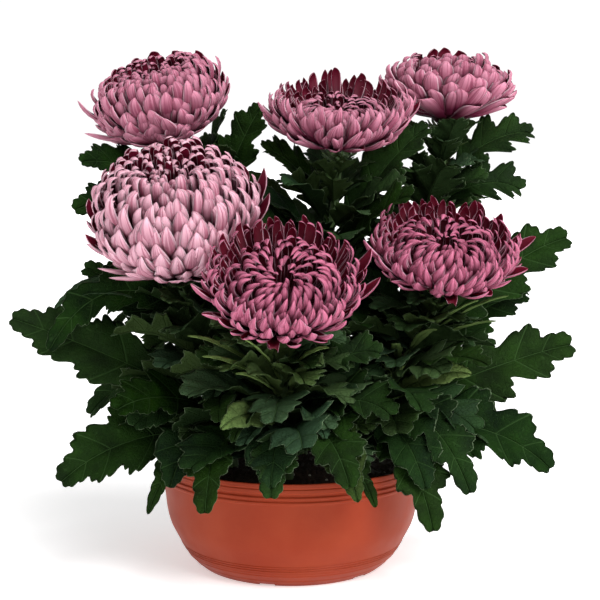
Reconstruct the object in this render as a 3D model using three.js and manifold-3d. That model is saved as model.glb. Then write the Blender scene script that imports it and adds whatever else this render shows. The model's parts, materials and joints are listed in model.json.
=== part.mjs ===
// Pot chrysanthemum: a 20 cm plastic bulb pan with soil, six leafy stems and six large blooms.
// Millimetres, +Z up, origin at the middle of the pot's underside, the front of the plant at -Y.

import * as THREE from 'three';
import { mergeVertices } from 'three/addons/utils/BufferGeometryUtils.js';
import Module from 'manifold-3d';

const wasm = await Module();
wasm.setup();
const { Manifold } = wasm;

// ---------------------------------------------------------------- driving dimensions

const POT = {
  rim: 100, // outer radius at the lip
  height: 82,
  foot: 69, // outer radius of the foot ring
  wall: 2.2,
  floor: 3.2, // height of the floor's upper face
  recess: 1.6, // hollow under the floor, between the foot ring and the centre pad
  pad: 13, // radius of the centre pad
  drains: 6,
  drainRadius: 4,
  drainSides: 6,
  drainCircle: 44,
  notches: 6,
  notchWidth: 12,
  notchDepth: 8, // how far a notch runs in from the foot's edge
  sides: 30,
};

const SOIL = {
  level: 72, // at the pot's wall
  mound: 5, // how much higher the middle is
  flat: 32, // radius of the flat middle
  slope: 80, // radius where the slope down to the wall ends
  gap: 0.4,
  holeGap: 0.9,
  holeSides: 8,
  holeRun: 0.39, // share of a stem that its hole is cut for
  lump: 1.1,
  sides: 30,
};

const STEM = {
  radius: 3.1,
  sides: 6,
  steps: 6,
  depth: 18, // how far it goes into the soil
  upright: 0.45, // share of its rise over which it leaves the soil upright
  nod: 0.3, // share of its rise over which it bends to its bloom's axis
};

// The green cup under a bloom.
const CUP = { radius: 9.5, height: 7, point: 4, sides: 8, seat: 0.35 };

const LEAF = {
  thick: 0.8,
  stalkThick: 2.2,
  petiole: 1.3, // half width of the leaf stalk
  stalk: 0.2, // share of the leaf's length that is stalk
  slant: 52, // degrees between the midrib and a side vein
  close: 0.6, // share of the length from which the side veins close up towards the tip
  trough: 0.1, // how far the edges stand above the midrib, as a share of the half width
  clear: 0.7, // room kept to every other piece
  small: 26, // half width up to which a leaf counts as small
};

const PETAL = {
  width: 18, // at the widest petals
  slimmest: 0.4, // share of that width at the eye
  budWidth: 0.8, // share of it in the bud
  ridge: 1.7,
  trough: 0.25, // how far the edges lie behind the middle, as a share of the half width
  sweep: 0.95, // radians that a petal leans in over its neighbours
  budCurl: 1.3, // how much of that lean a petal of the bud has
  root: 0.75, // share of the way from the outline to the receptacle where a petal's root lies
  hook: 0.3,
  hookFrom: 0.7, // share of the length where the tip starts to hook inwards
};

// Where all petals of a bloom come from, as radius and height above its seat.
const RECEPTACLE = [0, 4];

// The closed middle that the petals stand out of: its size as a share of the outline that the
// petal tips draw, and the shares of that outline, from rim to eye, where it has a corner.
const CORE = { scale: 0.7, corners: [1, 0.85, 0.68, 0.5, 0.32, 0.15], sides: 10 };

// No petal point goes further round than this from the bloom's axis, in radians.
const LOWEST_ANGLE = 2.75;

// Along a petal: share of its length, share of its width.
const PETAL_STATIONS = [[0.06, 0.4], [0.5, 0.82], [0.8, 1]];

const GOLDEN_ANGLE = THREE.MathUtils.degToRad(137.508);

// How a bloom's petals lie from its eye to its rim: the share of the petals, how far they have
// opened from the bud to the outline, and the angle of their tips from the axis in degrees.
const BALL = [[0, 1, 6], [1, 1, 124]];
const BOWL = [[0, 0, 6], [0.32, 0, 72], [0.68, 1, 54], [1, 1, 120]];

// Each flowering stem: where it leaves the soil, the middle of its bloom, the way the bloom looks,
// its outer radius, its height above and below the widest place, the hollow in its middle (depth
// in mm, width in degrees), how far its petals curl in, the bud in its middle (radius, height of
// its widest place, height above that), how its petals lie and how many.
const BLOOMS = [
  {
    foot: [-42, -18], middle: [-81, -60, 267], axis: [-0.06, -0.5, 0.86], radius: 60, up: 46, down: 44,
    eye: [9, 20], curl: 1, bud: [20, 20, 20], whorls: BALL, petals: 42,
  },
  {
    foot: [8, 14], middle: [36, 5, 338], axis: [0.03, -0.3, 0.95], radius: 55, up: 27, down: 31,
    eye: [0, 30], curl: 1, bud: [25, 22, 16], whorls: BOWL, petals: 40,
  },
  {
    foot: [-2, -50], middle: [-5, -130, 227], axis: [0.05, -0.6, 0.8], radius: 53, up: 26, down: 33,
    eye: [0, 30], curl: 1, bud: [24, 18, 14], whorls: BOWL, petals: 39,
  },
  {
    foot: [-34, 34], middle: [-101, 55, 346], axis: [-0.22, -0.33, 0.92], radius: 53, up: 36, down: 33,
    eye: [10, 24], curl: 0.95, bud: [20, 20, 20], whorls: BALL, petals: 38,
  },
  {
    foot: [40, 36], middle: [120, 60, 357], axis: [0.02, 0, 1], radius: 51, up: 28, down: 30,
    eye: [8, 26], curl: 0.9, bud: [20, 20, 20], whorls: BALL, petals: 36,
  },
  {
    foot: [46, -22], middle: [108, -60, 243], axis: [0.08, -0.45, 0.89], radius: 53, up: 26, down: 30,
    eye: [0, 30], curl: 1, bud: [24, 17, 15], whorls: BOWL, petals: 39,
  },
];

// Each large leaf: the stem's height share where it grows, its tip, how high its back arches above
// the straight line to the tip, its half width and its roll in degrees about its midrib.
const LEAVES = [
  [
    { at: 0.31, tip: [-203, -25, 187], arch: 4, half: 38, roll: -60 },
    { at: 0.2, tip: [-163, -66, 76], arch: 20, half: 38, roll: -55 },
    { at: 0.22, tip: [-58, -128, 70], arch: 34, half: 32, roll: 10 },
    { at: 0.19, tip: [-101, -80, 56], arch: 30, half: 17, roll: 0 },
    { at: 0.66, tip: [-172, -52, 168], arch: 44, half: 30, roll: -70 },
    { at: 0.5, tip: [-152, -8, 222], arch: 10, half: 26, roll: -55 },
    { at: 0.28, tip: [-120, -88, 132], arch: 14, half: 32, roll: -40 },
    { at: 0.33, tip: [-48, -128, 132], arch: 14, half: 22, roll: 20 },
    { at: 0.5, tip: [-22, -38, 205], arch: 10, half: 26, roll: 30 },
    { at: 0.42, tip: [-98, 28, 178], arch: 10, half: 26, roll: -20 },
  ],
  [
    { at: 0.78, tip: [-19, 12, 308], arch: 12, half: 28, roll: -40 },
    { at: 0.64, tip: [102, 22, 324], arch: 14, half: 30, roll: 45 },
    { at: 0.56, tip: [-34, -34, 258], arch: 16, half: 32, roll: -45 },
    { at: 0.52, tip: [84, -40, 262], arch: 16, half: 32, roll: 45 },
    { at: 0.7, tip: [20, 92, 290], arch: 20, half: 34, roll: 0 },
    { at: 0.45, tip: [-42, 102, 228], arch: 24, half: 38, roll: 20 },
    { at: 0.38, tip: [64, 108, 206], arch: 24, half: 38, roll: -20 },
    { at: 0.25, tip: [8, 130, 132], arch: 30, half: 40, roll: 0 },
    { at: 0.4, tip: [-30, 0, 196], arch: 12, half: 26, roll: -30 },
    { at: 0.36, tip: [58, -28, 186], arch: 12, half: 26, roll: 30 },
  ],
  [
    { at: 0.24, tip: [38, -138, 90], arch: 32, half: 34, roll: 15 },
    { at: 0.2, tip: [56, -122, 72], arch: 32, half: 19, roll: 0 },
    { at: 0.42, tip: [-38, -136, 120], arch: 16, half: 22, roll: 25 },
    { at: 0.62, tip: [12, -128, 168], arch: 8, half: 22, roll: 0 },
    { at: 0.34, tip: [66, -112, 126], arch: 18, half: 32, roll: 30 },
    { at: 0.5, tip: [60, -92, 172], arch: 12, half: 26, roll: 40 },
    { at: 0.2, tip: [-14, -134, 82], arch: 30, half: 30, roll: -5 },
    { at: 0.5, tip: [-62, -92, 168], arch: 12, half: 28, roll: -40 },
    { at: 0.46, tip: [34, -22, 182], arch: 10, half: 24, roll: 30 },
    { at: 0.36, tip: [-52, -52, 136], arch: 10, half: 24, roll: -20 },
  ],
  [
    { at: 0.82, tip: [-156, 12, 306], arch: 10, half: 27, roll: -50 },
    { at: 0.7, tip: [-160, 2, 264], arch: 14, half: 30, roll: -55 },
    { at: 0.78, tip: [-52, 82, 336], arch: 8, half: 24, roll: 0 },
    { at: 0.66, tip: [-24, 80, 340], arch: 10, half: 28, roll: 45 },
    { at: 0.6, tip: [-142, 116, 246], arch: 22, half: 36, roll: 0 },
    { at: 0.42, tip: [-138, 92, 168], arch: 26, half: 40, roll: -10 },
    { at: 0.3, tip: [-64, 134, 132], arch: 30, half: 38, roll: 0 },
    { at: 0.22, tip: [-156, 36, 104], arch: 30, half: 38, roll: -35 },
    { at: 0.55, tip: [-94, -6, 232], arch: 10, half: 26, roll: -20 },
    { at: 0.5, tip: [-18, 42, 236], arch: 10, half: 26, roll: 20 },
  ],
  [
    { at: 0.84, tip: [187, 70, 320], arch: 12, half: 28, roll: 45 },
    { at: 0.74, tip: [176, 50, 284], arch: 14, half: 30, roll: 50 },
    { at: 0.86, tip: [122, 10, 330], arch: 6, half: 22, roll: 0 },
    { at: 0.66, tip: [88, 6, 296], arch: 12, half: 28, roll: -30 },
    { at: 0.62, tip: [148, 124, 258], arch: 22, half: 36, roll: 0 },
    { at: 0.45, tip: [188, 92, 192], arch: 26, half: 40, roll: 20 },
    { at: 0.3, tip: [98, 138, 126], arch: 30, half: 38, roll: 0 },
    { at: 0.2, tip: [160, 58, 98], arch: 30, half: 38, roll: 35 },
    { at: 0.52, tip: [52, 6, 226], arch: 10, half: 26, roll: -20 },
    { at: 0.36, tip: [100, 12, 158], arch: 10, half: 26, roll: 0 },
  ],
  [
    { at: 0.3, tip: [209, 4, 163], arch: 6, half: 38, roll: 60 },
    { at: 0.2, tip: [185, -54, 82], arch: 28, half: 38, roll: 50 },
    { at: 0.2, tip: [97, -102, 50], arch: 40, half: 36, roll: 10 },
    { at: 0.26, tip: [136, -76, 64], arch: 38, half: 32, roll: 25 },
    { at: 0.6, tip: [207, 18, 242], arch: 14, half: 34, roll: 60 },
    { at: 0.46, tip: [178, 24, 198], arch: 14, half: 28, roll: 50 },
    { at: 0.32, tip: [76, -122, 138], arch: 20, half: 34, roll: -15 },
    { at: 0.5, tip: [132, -108, 166], arch: 12, half: 22, roll: 20 },
    { at: 0.42, tip: [66, 10, 200], arch: 10, half: 26, roll: -20 },
    { at: 0.4, tip: [120, -20, 186], arch: 10, half: 24, roll: 20 },
  ],
];

// Small turns that a leaf may take, in order, to stay clear of its neighbours: degrees about the
// stem and millimetres of lift at the tip.
const BENDS = [
  [0, 0], [0, 7], [0, -7], [6, 0], [-6, 0], [6, 7], [-6, 7], [0, 14], [12, 0], [-12, 0], [12, 10],
  [-12, 10], [0, -14], [18, 0], [-18, 0], [18, 12], [-18, 12], [0, 22], [24, 8], [-24, 8],
  [0, 30], [32, 0], [-32, 0], [32, 16], [-32, 16],
];

// A leaf's edge from stalk to tip: share of the length, share of the half width, wave in mm. Small
// leaves have fewer lobes.
const LEAF_EDGE = [
  [0.2, 0.05, 0],
  [0.27, 0.86, -2],
  [0.36, 0.5, 2],
  [0.46, 1, -3],
  [0.59, 0.46, 2],
  [0.7, 0.7, -2],
  [0.86, 0.36, 0],
  [1, 0.015, 0],
];
const SMALL_LEAF_EDGE = [
  [0.2, 0.05, 0],
  [0.3, 0.85, -2],
  [0.42, 0.5, 2],
  [0.58, 0.95, -2],
  [0.78, 0.5, 0],
  [1, 0.015, 0],
];

// ---------------------------------------------------------------- colours

const PAINT = {
  pot: { color: '#ad4a30', roughness: 0.45 },
  soil: { color: '#2a1d15', roughness: 0.95 },
  leaf: { color: '#24401f', roughness: 0.6 },
  petal: { color: '#c9829b', roughness: 0.6 },
};

// ---------------------------------------------------------------- solids

function toSolid(geometry) {
  geometry.deleteAttribute('normal');
  geometry.deleteAttribute('uv');
  const merged = mergeVertices(geometry, 1e-4);
  return new Manifold(new wasm.Mesh({
    numProp: 3,
    vertProperties: new Float32Array(merged.attributes.position.array),
    triVerts: new Uint32Array(merged.index.array),
  }));
}

function toGeometry(solid) {
  const { vertProperties, triVerts } = solid.getMesh();
  const geometry = new THREE.BufferGeometry();
  geometry.setAttribute('position', new THREE.BufferAttribute(vertProperties, 3));
  geometry.setIndex(new THREE.BufferAttribute(triVerts, 1));
  geometry.computeVertexNormals();
  return geometry;
}

function fuse(solids) {
  return solids.reduce((whole, solid) => whole.add(solid));
}

// The largest body of a fused solid, without sealed hollows and loose scraps.
function oneBody(solid) {
  return solid.decompose().sort((one, other) => other.volume() - one.volume())[0];
}

function shell(points, triangles) {
  const geometry = new THREE.BufferGeometry();
  geometry.setAttribute('position', new THREE.Float32BufferAttribute(
    points.flatMap((point) => point.toArray()), 3));
  geometry.setIndex(triangles.flat());
  return geometry;
}

// A solid of revolution about Z. The outline runs up the outside and back down the inside.
function turned(outline, sides) {
  const points = outline.map(([radius, height]) => new THREE.Vector2(radius, height));
  return new THREE.LatheGeometry(points, sides).rotateX(Math.PI / 2);
}

function namedMesh(name, solid, paint) {
  const mesh = new THREE.Mesh(toGeometry(solid), new THREE.MeshStandardMaterial(paint));
  mesh.name = name;
  return mesh;
}

// ---------------------------------------------------------------- pot

// Up the outside: foot ring, hip with a fine ridge, flank, banded rim and lip.
const POT_OUTSIDE = [
  [POT.foot, 0],
  [77.8, 8],
  [79.6, 10.6],
  [85.5, 20.5],
  [93.6, 36],
  [96.8, 66.6],
  [98.8, 68],
  [98.8, 70],
  [97.8, 71.4],
  [POT.rim, 74],
  [POT.rim, POT.height],
];

// Down the inside, to the middle of the floor.
const POT_INSIDE = [
  [POT.rim - POT.wall, POT.height],
  [94.2, 66],
  [91, 36],
  [82.9, 20.5],
  [70, POT.floor],
  [0, POT.floor],
];

const POT_UNDERSIDE = [
  [0, 0],
  [POT.pad, 0],
  [POT.pad + 1, POT.recess],
  [POT.foot - 5, POT.recess],
  [POT.foot - 4, 0],
];

function makePot() {
  const outline = [...POT_UNDERSIDE, ...POT_OUTSIDE, ...POT_INSIDE];
  const cutters = [];
  for (let i = 0; i < POT.drains; i += 1) {
    const angle = (i + 0.5) / POT.drains * 2 * Math.PI;
    const length = 4 * POT.floor;
    const hole = new THREE.CylinderGeometry(POT.drainRadius, POT.drainRadius, length, POT.drainSides);
    hole.rotateX(Math.PI / 2);
    hole.translate(POT.drainCircle * Math.cos(angle), POT.drainCircle * Math.sin(angle), 0);
    cutters.push(toSolid(hole));
  }
  for (let i = 0; i < POT.notches; i += 1) {
    const notch = new THREE.BoxGeometry(2 * POT.notchDepth, POT.notchWidth, 2 * POT.recess);
    notch.translate(POT.foot, 0, 0);
    notch.rotateZ((i + 0.25) / POT.notches * 2 * Math.PI);
    cutters.push(toSolid(notch));
  }
  return toSolid(turned(outline, POT.sides)).subtract(fuse(cutters));
}

// The inner wall's radius at a height.
function potInnerRadius(height) {
  for (let i = 1; i < POT_INSIDE.length; i += 1) {
    const [outerRadius, top] = POT_INSIDE[i - 1];
    const [innerRadius, bottom] = POT_INSIDE[i];
    if (height >= bottom) {
      const share = (height - bottom) / (top - bottom || 1);
      return innerRadius + (outerRadius - innerRadius) * share;
    }
  }
  return 0;
}

// ---------------------------------------------------------------- stems

function bloomAxis(bloom) {
  return new THREE.Vector3(...bloom.axis).normalize();
}

// The seat of a bloom: the middle of the face that it stands on.
function bloomSeat(bloom) {
  return new THREE.Vector3(...bloom.middle).addScaledVector(bloomAxis(bloom), -bloom.down);
}

function stemCurve(bloom) {
  const axis = bloomAxis(bloom);
  const start = new THREE.Vector3(...bloom.foot, SOIL.level - STEM.depth);
  const end = bloomSeat(bloom).addScaledVector(axis, -CUP.height);
  const rise = end.z - start.z;
  const low = start.clone().add(new THREE.Vector3(0, 0, STEM.upright * rise));
  const high = end.clone().addScaledVector(axis, -STEM.nod * rise);
  return new THREE.CubicBezierCurve3(start, low, high, end);
}

function stemSection(radius) {
  const corners = [];
  for (let i = 0; i < STEM.sides; i += 1) {
    const angle = i / STEM.sides * 2 * Math.PI;
    corners.push(new THREE.Vector2(radius * Math.cos(angle), radius * Math.sin(angle)));
  }
  return new THREE.Shape(corners);
}

function stemTube(bloom, radius) {
  return new THREE.ExtrudeGeometry(stemSection(radius), {
    steps: STEM.steps,
    extrudePath: stemCurve(bloom),
  });
}

function makeStem(bloom) {
  const cup = turned([
    [0, -CUP.height - CUP.point],
    [CUP.radius * 0.75, -CUP.height * 0.6],
    [CUP.radius, -CUP.seat],
    [0, -CUP.seat],
  ], CUP.sides).applyMatrix4(bloomPlace(bloom));
  return fuse([toSolid(stemTube(bloom, STEM.radius)), toSolid(cup)]);
}

// ---------------------------------------------------------------- leaves

// The midrib runs from the middle of the stem, arches up and comes down to the tip.
function midribCurve(root, tip, arch) {
  const along = tip.clone().sub(root);
  const low = root.clone().addScaledVector(along, 0.3);
  const high = root.clone().addScaledVector(along, 0.72);
  low.z += arch;
  high.z += 1.25 * arch;
  return new THREE.CubicBezierCurve3(root, low, high, tip);
}

function leafTip(root, leaf, bend) {
  const [turn, lift] = bend;
  const reach = new THREE.Vector3(...leaf.tip).sub(root);
  reach.applyAxisAngle(new THREE.Vector3(0, 0, 1), THREE.MathUtils.degToRad(turn));
  reach.z += lift;
  return reach.add(root);
}

// A cut leaf is a ladder of rungs: left edge, midrib and right edge, with the side veins slanting
// forward. The stalk is the ladder's first, narrow part. Room is added all round it.
function leafRungs(curve, leaf, room) {
  const slant = THREE.MathUtils.degToRad(LEAF.slant);
  const roll = THREE.MathUtils.degToRad(leaf.roll);
  const stalk = [0, LEAF.petiole / leaf.half, 0];
  const edge = leaf.half > LEAF.small ? LEAF_EDGE : SMALL_LEAF_EDGE;
  return [stalk, ...edge].map(([share, width, wave], index) => {
    const ahead = curve.getTangent(share);
    const side = new THREE.Vector3(ahead.y, -ahead.x, 0).normalize().applyAxisAngle(ahead, roll);
    const face = new THREE.Vector3().crossVectors(side, ahead).normalize();
    const mid = curve.getPoint(share).addScaledVector(face, room);
    const half = width * leaf.half + room;
    const closing = 1 - LEAF.close * Math.max(0, share - LEAF.close);
    const lean = share > LEAF.stalk ? slant * closing : Math.PI / 2;
    const right = mid.clone()
      .addScaledVector(side, half * Math.sin(lean))
      .addScaledVector(ahead, half * Math.cos(lean))
      .addScaledVector(face, LEAF.trough * half + wave);
    const left = mid.clone()
      .addScaledVector(side, -half * Math.sin(lean))
      .addScaledVector(ahead, half * Math.cos(lean))
      .addScaledVector(face, LEAF.trough * half - 0.6 * wave);
    const depth = (index === 0 ? LEAF.stalkThick : LEAF.thick) + 2 * room;
    return { left, mid, right, under: face.multiplyScalar(-depth) };
  });
}

function makeLeaf(curve, leaf, room) {
  const points = [];
  leafRungs(curve, leaf, room).forEach(({ left, mid, right, under }) => {
    const upper = [left, mid, right];
    points.push(...upper, ...upper.map((point) => point.clone().add(under)));
  });
  const triangles = [[0, 4, 1], [0, 3, 4], [1, 5, 2], [1, 4, 5]];
  const last = points.length - 6;
  for (let i = 0; i < last; i += 6) {
    const n = i + 6;
    triangles.push(
      [i, i + 1, n], [n, i + 1, n + 1], // upper face, left half
      [i + 1, n + 2, n + 1], [i + 1, i + 2, n + 2], // upper face, right half
      [i + 3, n + 3, i + 4], [n + 3, n + 4, i + 4], // lower face, left half
      [i + 4, n + 4, n + 5], [i + 4, n + 5, i + 5], // lower face, right half
      [i, n + 3, i + 3], [i, n, n + 3], // left edge
      [i + 2, i + 5, n + 5], [i + 2, n + 5, n + 2], // right edge
    );
  }
  triangles.push([last, last + 1, last + 4], [last, last + 4, last + 3]);
  triangles.push([last + 1, last + 2, last + 5], [last + 1, last + 5, last + 4]);
  return toSolid(shell(points, triangles));
}

// ---------------------------------------------------------------- blooms

// Turns a bloom's own frame, seat at the origin and looking along +Z, to its place on the plant.
function bloomPlace(bloom) {
  const turn = new THREE.Quaternion().setFromUnitVectors(new THREE.Vector3(0, 0, 1), bloomAxis(bloom));
  return new THREE.Matrix4().compose(bloomSeat(bloom), turn, new THREE.Vector3(1, 1, 1));
}

// A point of the outline at an angle from the axis, as radius and height, drawn in towards the
// receptacle by a scale.
function bloomInside(form, angle, scale) {
  const [dip, width] = form.eye;
  const turn = Math.min(angle, LOWEST_ANGLE);
  const spread = turn / THREE.MathUtils.degToRad(width);
  const height = Math.cos(turn) > 0 ? form.up : form.down;
  const tip = new THREE.Vector2(
    form.radius * Math.sin(turn),
    form.down + height * Math.cos(turn) - dip * Math.exp(-spread * spread),
  );
  return new THREE.Vector2(...RECEPTACLE).lerp(tip, scale);
}

// The outline that the petals at a share of the way from eye to rim follow, and their angle there.
function petalForm(bloom, share) {
  const { lerp } = THREE.MathUtils;
  const next = bloom.whorls.findIndex(([end], index) => index > 0 && share <= end);
  const [low, lowOpen, lowAngle] = bloom.whorls[next - 1];
  const [high, highOpen, highAngle] = bloom.whorls[next];
  const part = (share - low) / (high - low);
  const opened = lerp(lowOpen, highOpen, part);
  const [radius, down, up] = bloom.bud;
  const form = {
    eye: bloom.eye,
    radius: lerp(radius, bloom.radius, opened),
    down: lerp(down, bloom.down, opened),
    up: lerp(up, bloom.up, opened),
    curl: lerp(PETAL.budCurl, bloom.curl, opened),
    width: PETAL.width * lerp(PETAL.budWidth, 1, opened),
  };
  return { form, angle: THREE.MathUtils.degToRad(lerp(lowAngle, highAngle, part)) };
}

// A point on the line down the middle of a petal, in the plane of the bloom's axis. The line comes
// out of the bloom's core at 0, leans in over the petals inside it and hooks inwards at its tip.
function petalPoint(form, angle, along) {
  const sweep = PETAL.sweep * form.curl * Math.sin(Math.min(angle, 1.2)) ** 0.8;
  const hook = PETAL.hook * Math.max(0, along - PETAL.hookFrom) ** 2;
  const scale = 1 - PETAL.root * Math.max(0, 1 - along) ** 2.2 - hook;
  return bloomInside(form, angle + sweep * (1 - along), scale);
}

// A petal is a blade of three-cornered section: flat inside, with a ridge down its back.
function makePetal(bloom, index) {
  const { form, angle } = petalForm(bloom, (index + 0.5) / bloom.petals);
  const turn = index * GOLDEN_ANGLE;
  const out = new THREE.Vector3(Math.cos(turn), Math.sin(turn), 0);
  const side = new THREE.Vector3(-Math.sin(turn), Math.cos(turn), 0);
  const place = (point) => out.clone().multiplyScalar(point.x).setZ(point.y);
  const fullness = THREE.MathUtils.lerp(PETAL.slimmest, 1, Math.sin(Math.min(angle, Math.PI / 2)));
  const half = 0.5 * form.width * fullness;
  const points = [];
  PETAL_STATIONS.forEach(([along, wide]) => {
    const middle = petalPoint(form, angle, along);
    const ahead = petalPoint(form, angle, along + 0.02).sub(middle).normalize();
    const back = place(new THREE.Vector2(ahead.y, -ahead.x));
    const edges = place(middle).addScaledVector(back, -PETAL.trough * half * wide);
    points.push(
      edges.clone().addScaledVector(side, half * wide),
      edges.clone().addScaledVector(side, -half * wide),
      place(middle).addScaledVector(back, PETAL.ridge * wide),
    );
  });
  points.push(place(petalPoint(form, angle, 1)));
  const triangles = [[0, 2, 1]];
  const tip = points.length - 1;
  for (let i = 0; i < tip - 3; i += 3) {
    for (let j = 0; j < 3; j += 1) {
      const k = (j + 1) % 3;
      triangles.push([i + j, i + k, i + 3 + j], [i + k, i + 3 + k, i + 3 + j]);
    }
  }
  triangles.push([tip - 3, tip - 2, tip], [tip - 2, tip - 1, tip], [tip - 1, tip - 3, tip]);
  return toSolid(shell(points, triangles));
}

function makeBloom(bloom) {
  const outline = [[0, 0], [CUP.radius - 1, 0]];
  CORE.corners.forEach((share) => {
    const { form, angle } = petalForm(bloom, share);
    outline.push(bloomInside(form, angle, CORE.scale).toArray());
  });
  outline.push([0, bloomInside(petalForm(bloom, 0).form, 0, CORE.scale).y]);
  const solids = [toSolid(turned(outline, CORE.sides))];
  for (let i = 0; i < bloom.petals; i += 1) {
    solids.push(makePetal(bloom, i));
  }
  return oneBody(fuse(solids)).transform(bloomPlace(bloom).elements);
}

// ---------------------------------------------------------------- soil

// A low mound with shallow lumps, and a plain hole for each stem.
function makeSoil() {
  const bottom = POT.floor + SOIL.gap;
  const wall = [bottom, 20.5, SOIL.level - 1].map(
    (height) => [potInnerRadius(height) - 1.6 * SOIL.gap, height]);
  const peak = SOIL.level + SOIL.mound;
  const top = [[SOIL.slope, SOIL.level], [SOIL.flat, peak], [0, peak]];
  const geometry = turned([[0, bottom], ...wall, ...top], SOIL.sides);
  const position = geometry.attributes.position;
  for (let i = 0; i < position.count; i += 1) {
    const [x, y, z] = [position.getX(i), position.getY(i), position.getZ(i)];
    if (z >= SOIL.level && Math.hypot(x, y) > 1) {
      position.setZ(i, z + SOIL.lump * Math.sin(0.31 * x + 1) * Math.sin(0.27 * y + 2));
    }
  }
  return toSolid(geometry).subtract(fuse(BLOOMS.map(makeStemHole)));
}

function makeStemHole(bloom) {
  const curve = stemCurve(bloom);
  const foot = curve.getPoint(0);
  const along = curve.getPoint(SOIL.holeRun / 3).sub(foot);
  const length = 3 * along.length();
  const radius = STEM.radius + SOIL.holeGap;
  const hole = new THREE.CylinderGeometry(radius, radius, length, SOIL.holeSides);
  hole.translate(0, 0.5 * length - SOIL.holeGap, 0);
  hole.applyQuaternion(new THREE.Quaternion().setFromUnitVectors(
    new THREE.Vector3(0, 1, 0), along.normalize()));
  return toSolid(hole.translate(...foot));
}

// ---------------------------------------------------------------- the plant

function boxesMeet(one, other) {
  const a = one.boundingBox();
  const b = other.boundingBox();
  return [0, 1, 2].every((i) => a.min[i] < b.max[i] && b.min[i] < a.max[i]);
}

function isClear(solid, others) {
  return !others.some((other) => boxesMeet(solid, other) && !solid.intersect(other).isEmpty());
}

// Grows every leaf with the first bend that keeps it clear of all other pieces, and of the other
// leaves on its own stem where it can.
function growLeaves(stems, fixed) {
  const grown = BLOOMS.map(() => []);
  for (let row = 0; row < LEAVES[0].length; row += 1) {
    BLOOMS.forEach((bloom, index) => {
      const leaf = LEAVES[index][row];
      const root = stemCurve(bloom).getPoint(leaf.at);
      const isOther = (_, other) => other !== index;
      const others = [...fixed, ...stems.filter(isOther), ...grown.filter(isOther).flat()];
      const fits = (bend, solids) => isClear(
        makeLeaf(midribCurve(root, leafTip(root, leaf, bend), leaf.arch), leaf, LEAF.clear), solids);
      const bend = BENDS.find((one) => fits(one, [...others, ...grown[index]]))
        ?? BENDS.find((one) => fits(one, others));
      if (!bend) {
        throw new Error(`leaf ${row + 1} of stem ${index + 1} has no room`);
      }
      grown[index].push(makeLeaf(midribCurve(root, leafTip(root, leaf, bend), leaf.arch), leaf, 0));
    });
  }
  return grown;
}

const plant = new THREE.Group();
const pot = makePot();
const soil = makeSoil();
const blooms = BLOOMS.map(makeBloom);
const stems = BLOOMS.map(makeStem);
const leaves = growLeaves(stems, [pot, soil, ...blooms]);

plant.add(namedMesh('pot', pot, PAINT.pot));
plant.add(namedMesh('soil', soil, PAINT.soil));
BLOOMS.forEach((_, i) => {
  plant.add(namedMesh(`leafy_stem_${i + 1}`, oneBody(fuse([stems[i], ...leaves[i]])), PAINT.leaf));
  plant.add(namedMesh(`bloom_${i + 1}`, blooms[i], PAINT.petal));
});

export default plant;
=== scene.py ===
"""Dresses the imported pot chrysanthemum: pot, soil, stems, leaves, blooms, water drops and stage.

Shapes are worked out in millimetres in the plant's frame: +Z up, the front at -Y, origin under the
middle of the pot. Meshes are made in metres, and so are the sizes that a node tree or an operator's
setting takes.
"""
import json
import math
import random
from functools import partial

import bpy
from bpy.props import FloatProperty, FloatVectorProperty, IntProperty, PointerProperty
from mathutils import Euler, Matrix, Quaternion, Vector, kdtree, noise

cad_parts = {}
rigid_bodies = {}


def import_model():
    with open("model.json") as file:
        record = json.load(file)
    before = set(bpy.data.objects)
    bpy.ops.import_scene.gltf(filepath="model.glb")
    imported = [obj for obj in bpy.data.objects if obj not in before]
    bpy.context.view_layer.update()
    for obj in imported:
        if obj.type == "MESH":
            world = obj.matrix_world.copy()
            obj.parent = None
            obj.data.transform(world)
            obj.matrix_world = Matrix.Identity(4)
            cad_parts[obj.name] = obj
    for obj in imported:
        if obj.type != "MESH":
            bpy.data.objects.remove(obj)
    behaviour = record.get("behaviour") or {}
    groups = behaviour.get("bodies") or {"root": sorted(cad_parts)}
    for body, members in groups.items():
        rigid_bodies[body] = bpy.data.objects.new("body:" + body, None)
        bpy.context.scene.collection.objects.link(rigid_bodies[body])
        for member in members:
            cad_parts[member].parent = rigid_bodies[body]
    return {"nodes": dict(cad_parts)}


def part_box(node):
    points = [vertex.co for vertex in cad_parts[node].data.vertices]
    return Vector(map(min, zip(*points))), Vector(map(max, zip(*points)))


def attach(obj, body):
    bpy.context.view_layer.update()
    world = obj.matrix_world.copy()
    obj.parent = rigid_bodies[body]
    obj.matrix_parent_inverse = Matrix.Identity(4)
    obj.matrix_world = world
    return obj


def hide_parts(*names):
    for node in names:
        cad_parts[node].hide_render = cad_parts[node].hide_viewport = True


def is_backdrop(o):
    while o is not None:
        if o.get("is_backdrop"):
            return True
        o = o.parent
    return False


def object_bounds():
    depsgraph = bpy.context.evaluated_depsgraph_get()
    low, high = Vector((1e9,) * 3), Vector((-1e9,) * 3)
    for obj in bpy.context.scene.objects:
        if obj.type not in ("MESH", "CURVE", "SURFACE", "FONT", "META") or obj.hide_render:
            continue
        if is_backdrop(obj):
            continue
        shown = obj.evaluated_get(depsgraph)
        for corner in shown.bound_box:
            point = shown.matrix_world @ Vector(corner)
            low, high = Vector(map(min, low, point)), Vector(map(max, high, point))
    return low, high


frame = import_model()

bl_info = {
    "name": "Pot chrysanthemum",
    "version": (1, 0, 0),
    "blender": (4, 5, 0),
    "location": "3D View > Sidebar > Plant",
    "description": "Builds a pot chrysanthemum's pot, soil, stems, leaves and blooms on its frame",
    "category": "Object",
}

MM = 0.001
CAD_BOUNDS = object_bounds()
GOLDEN_ANGLE = math.radians(137.508)
UP = Vector((0, 0, 1))

# ---------------------------------------------------------------- the plant's plan

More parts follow.
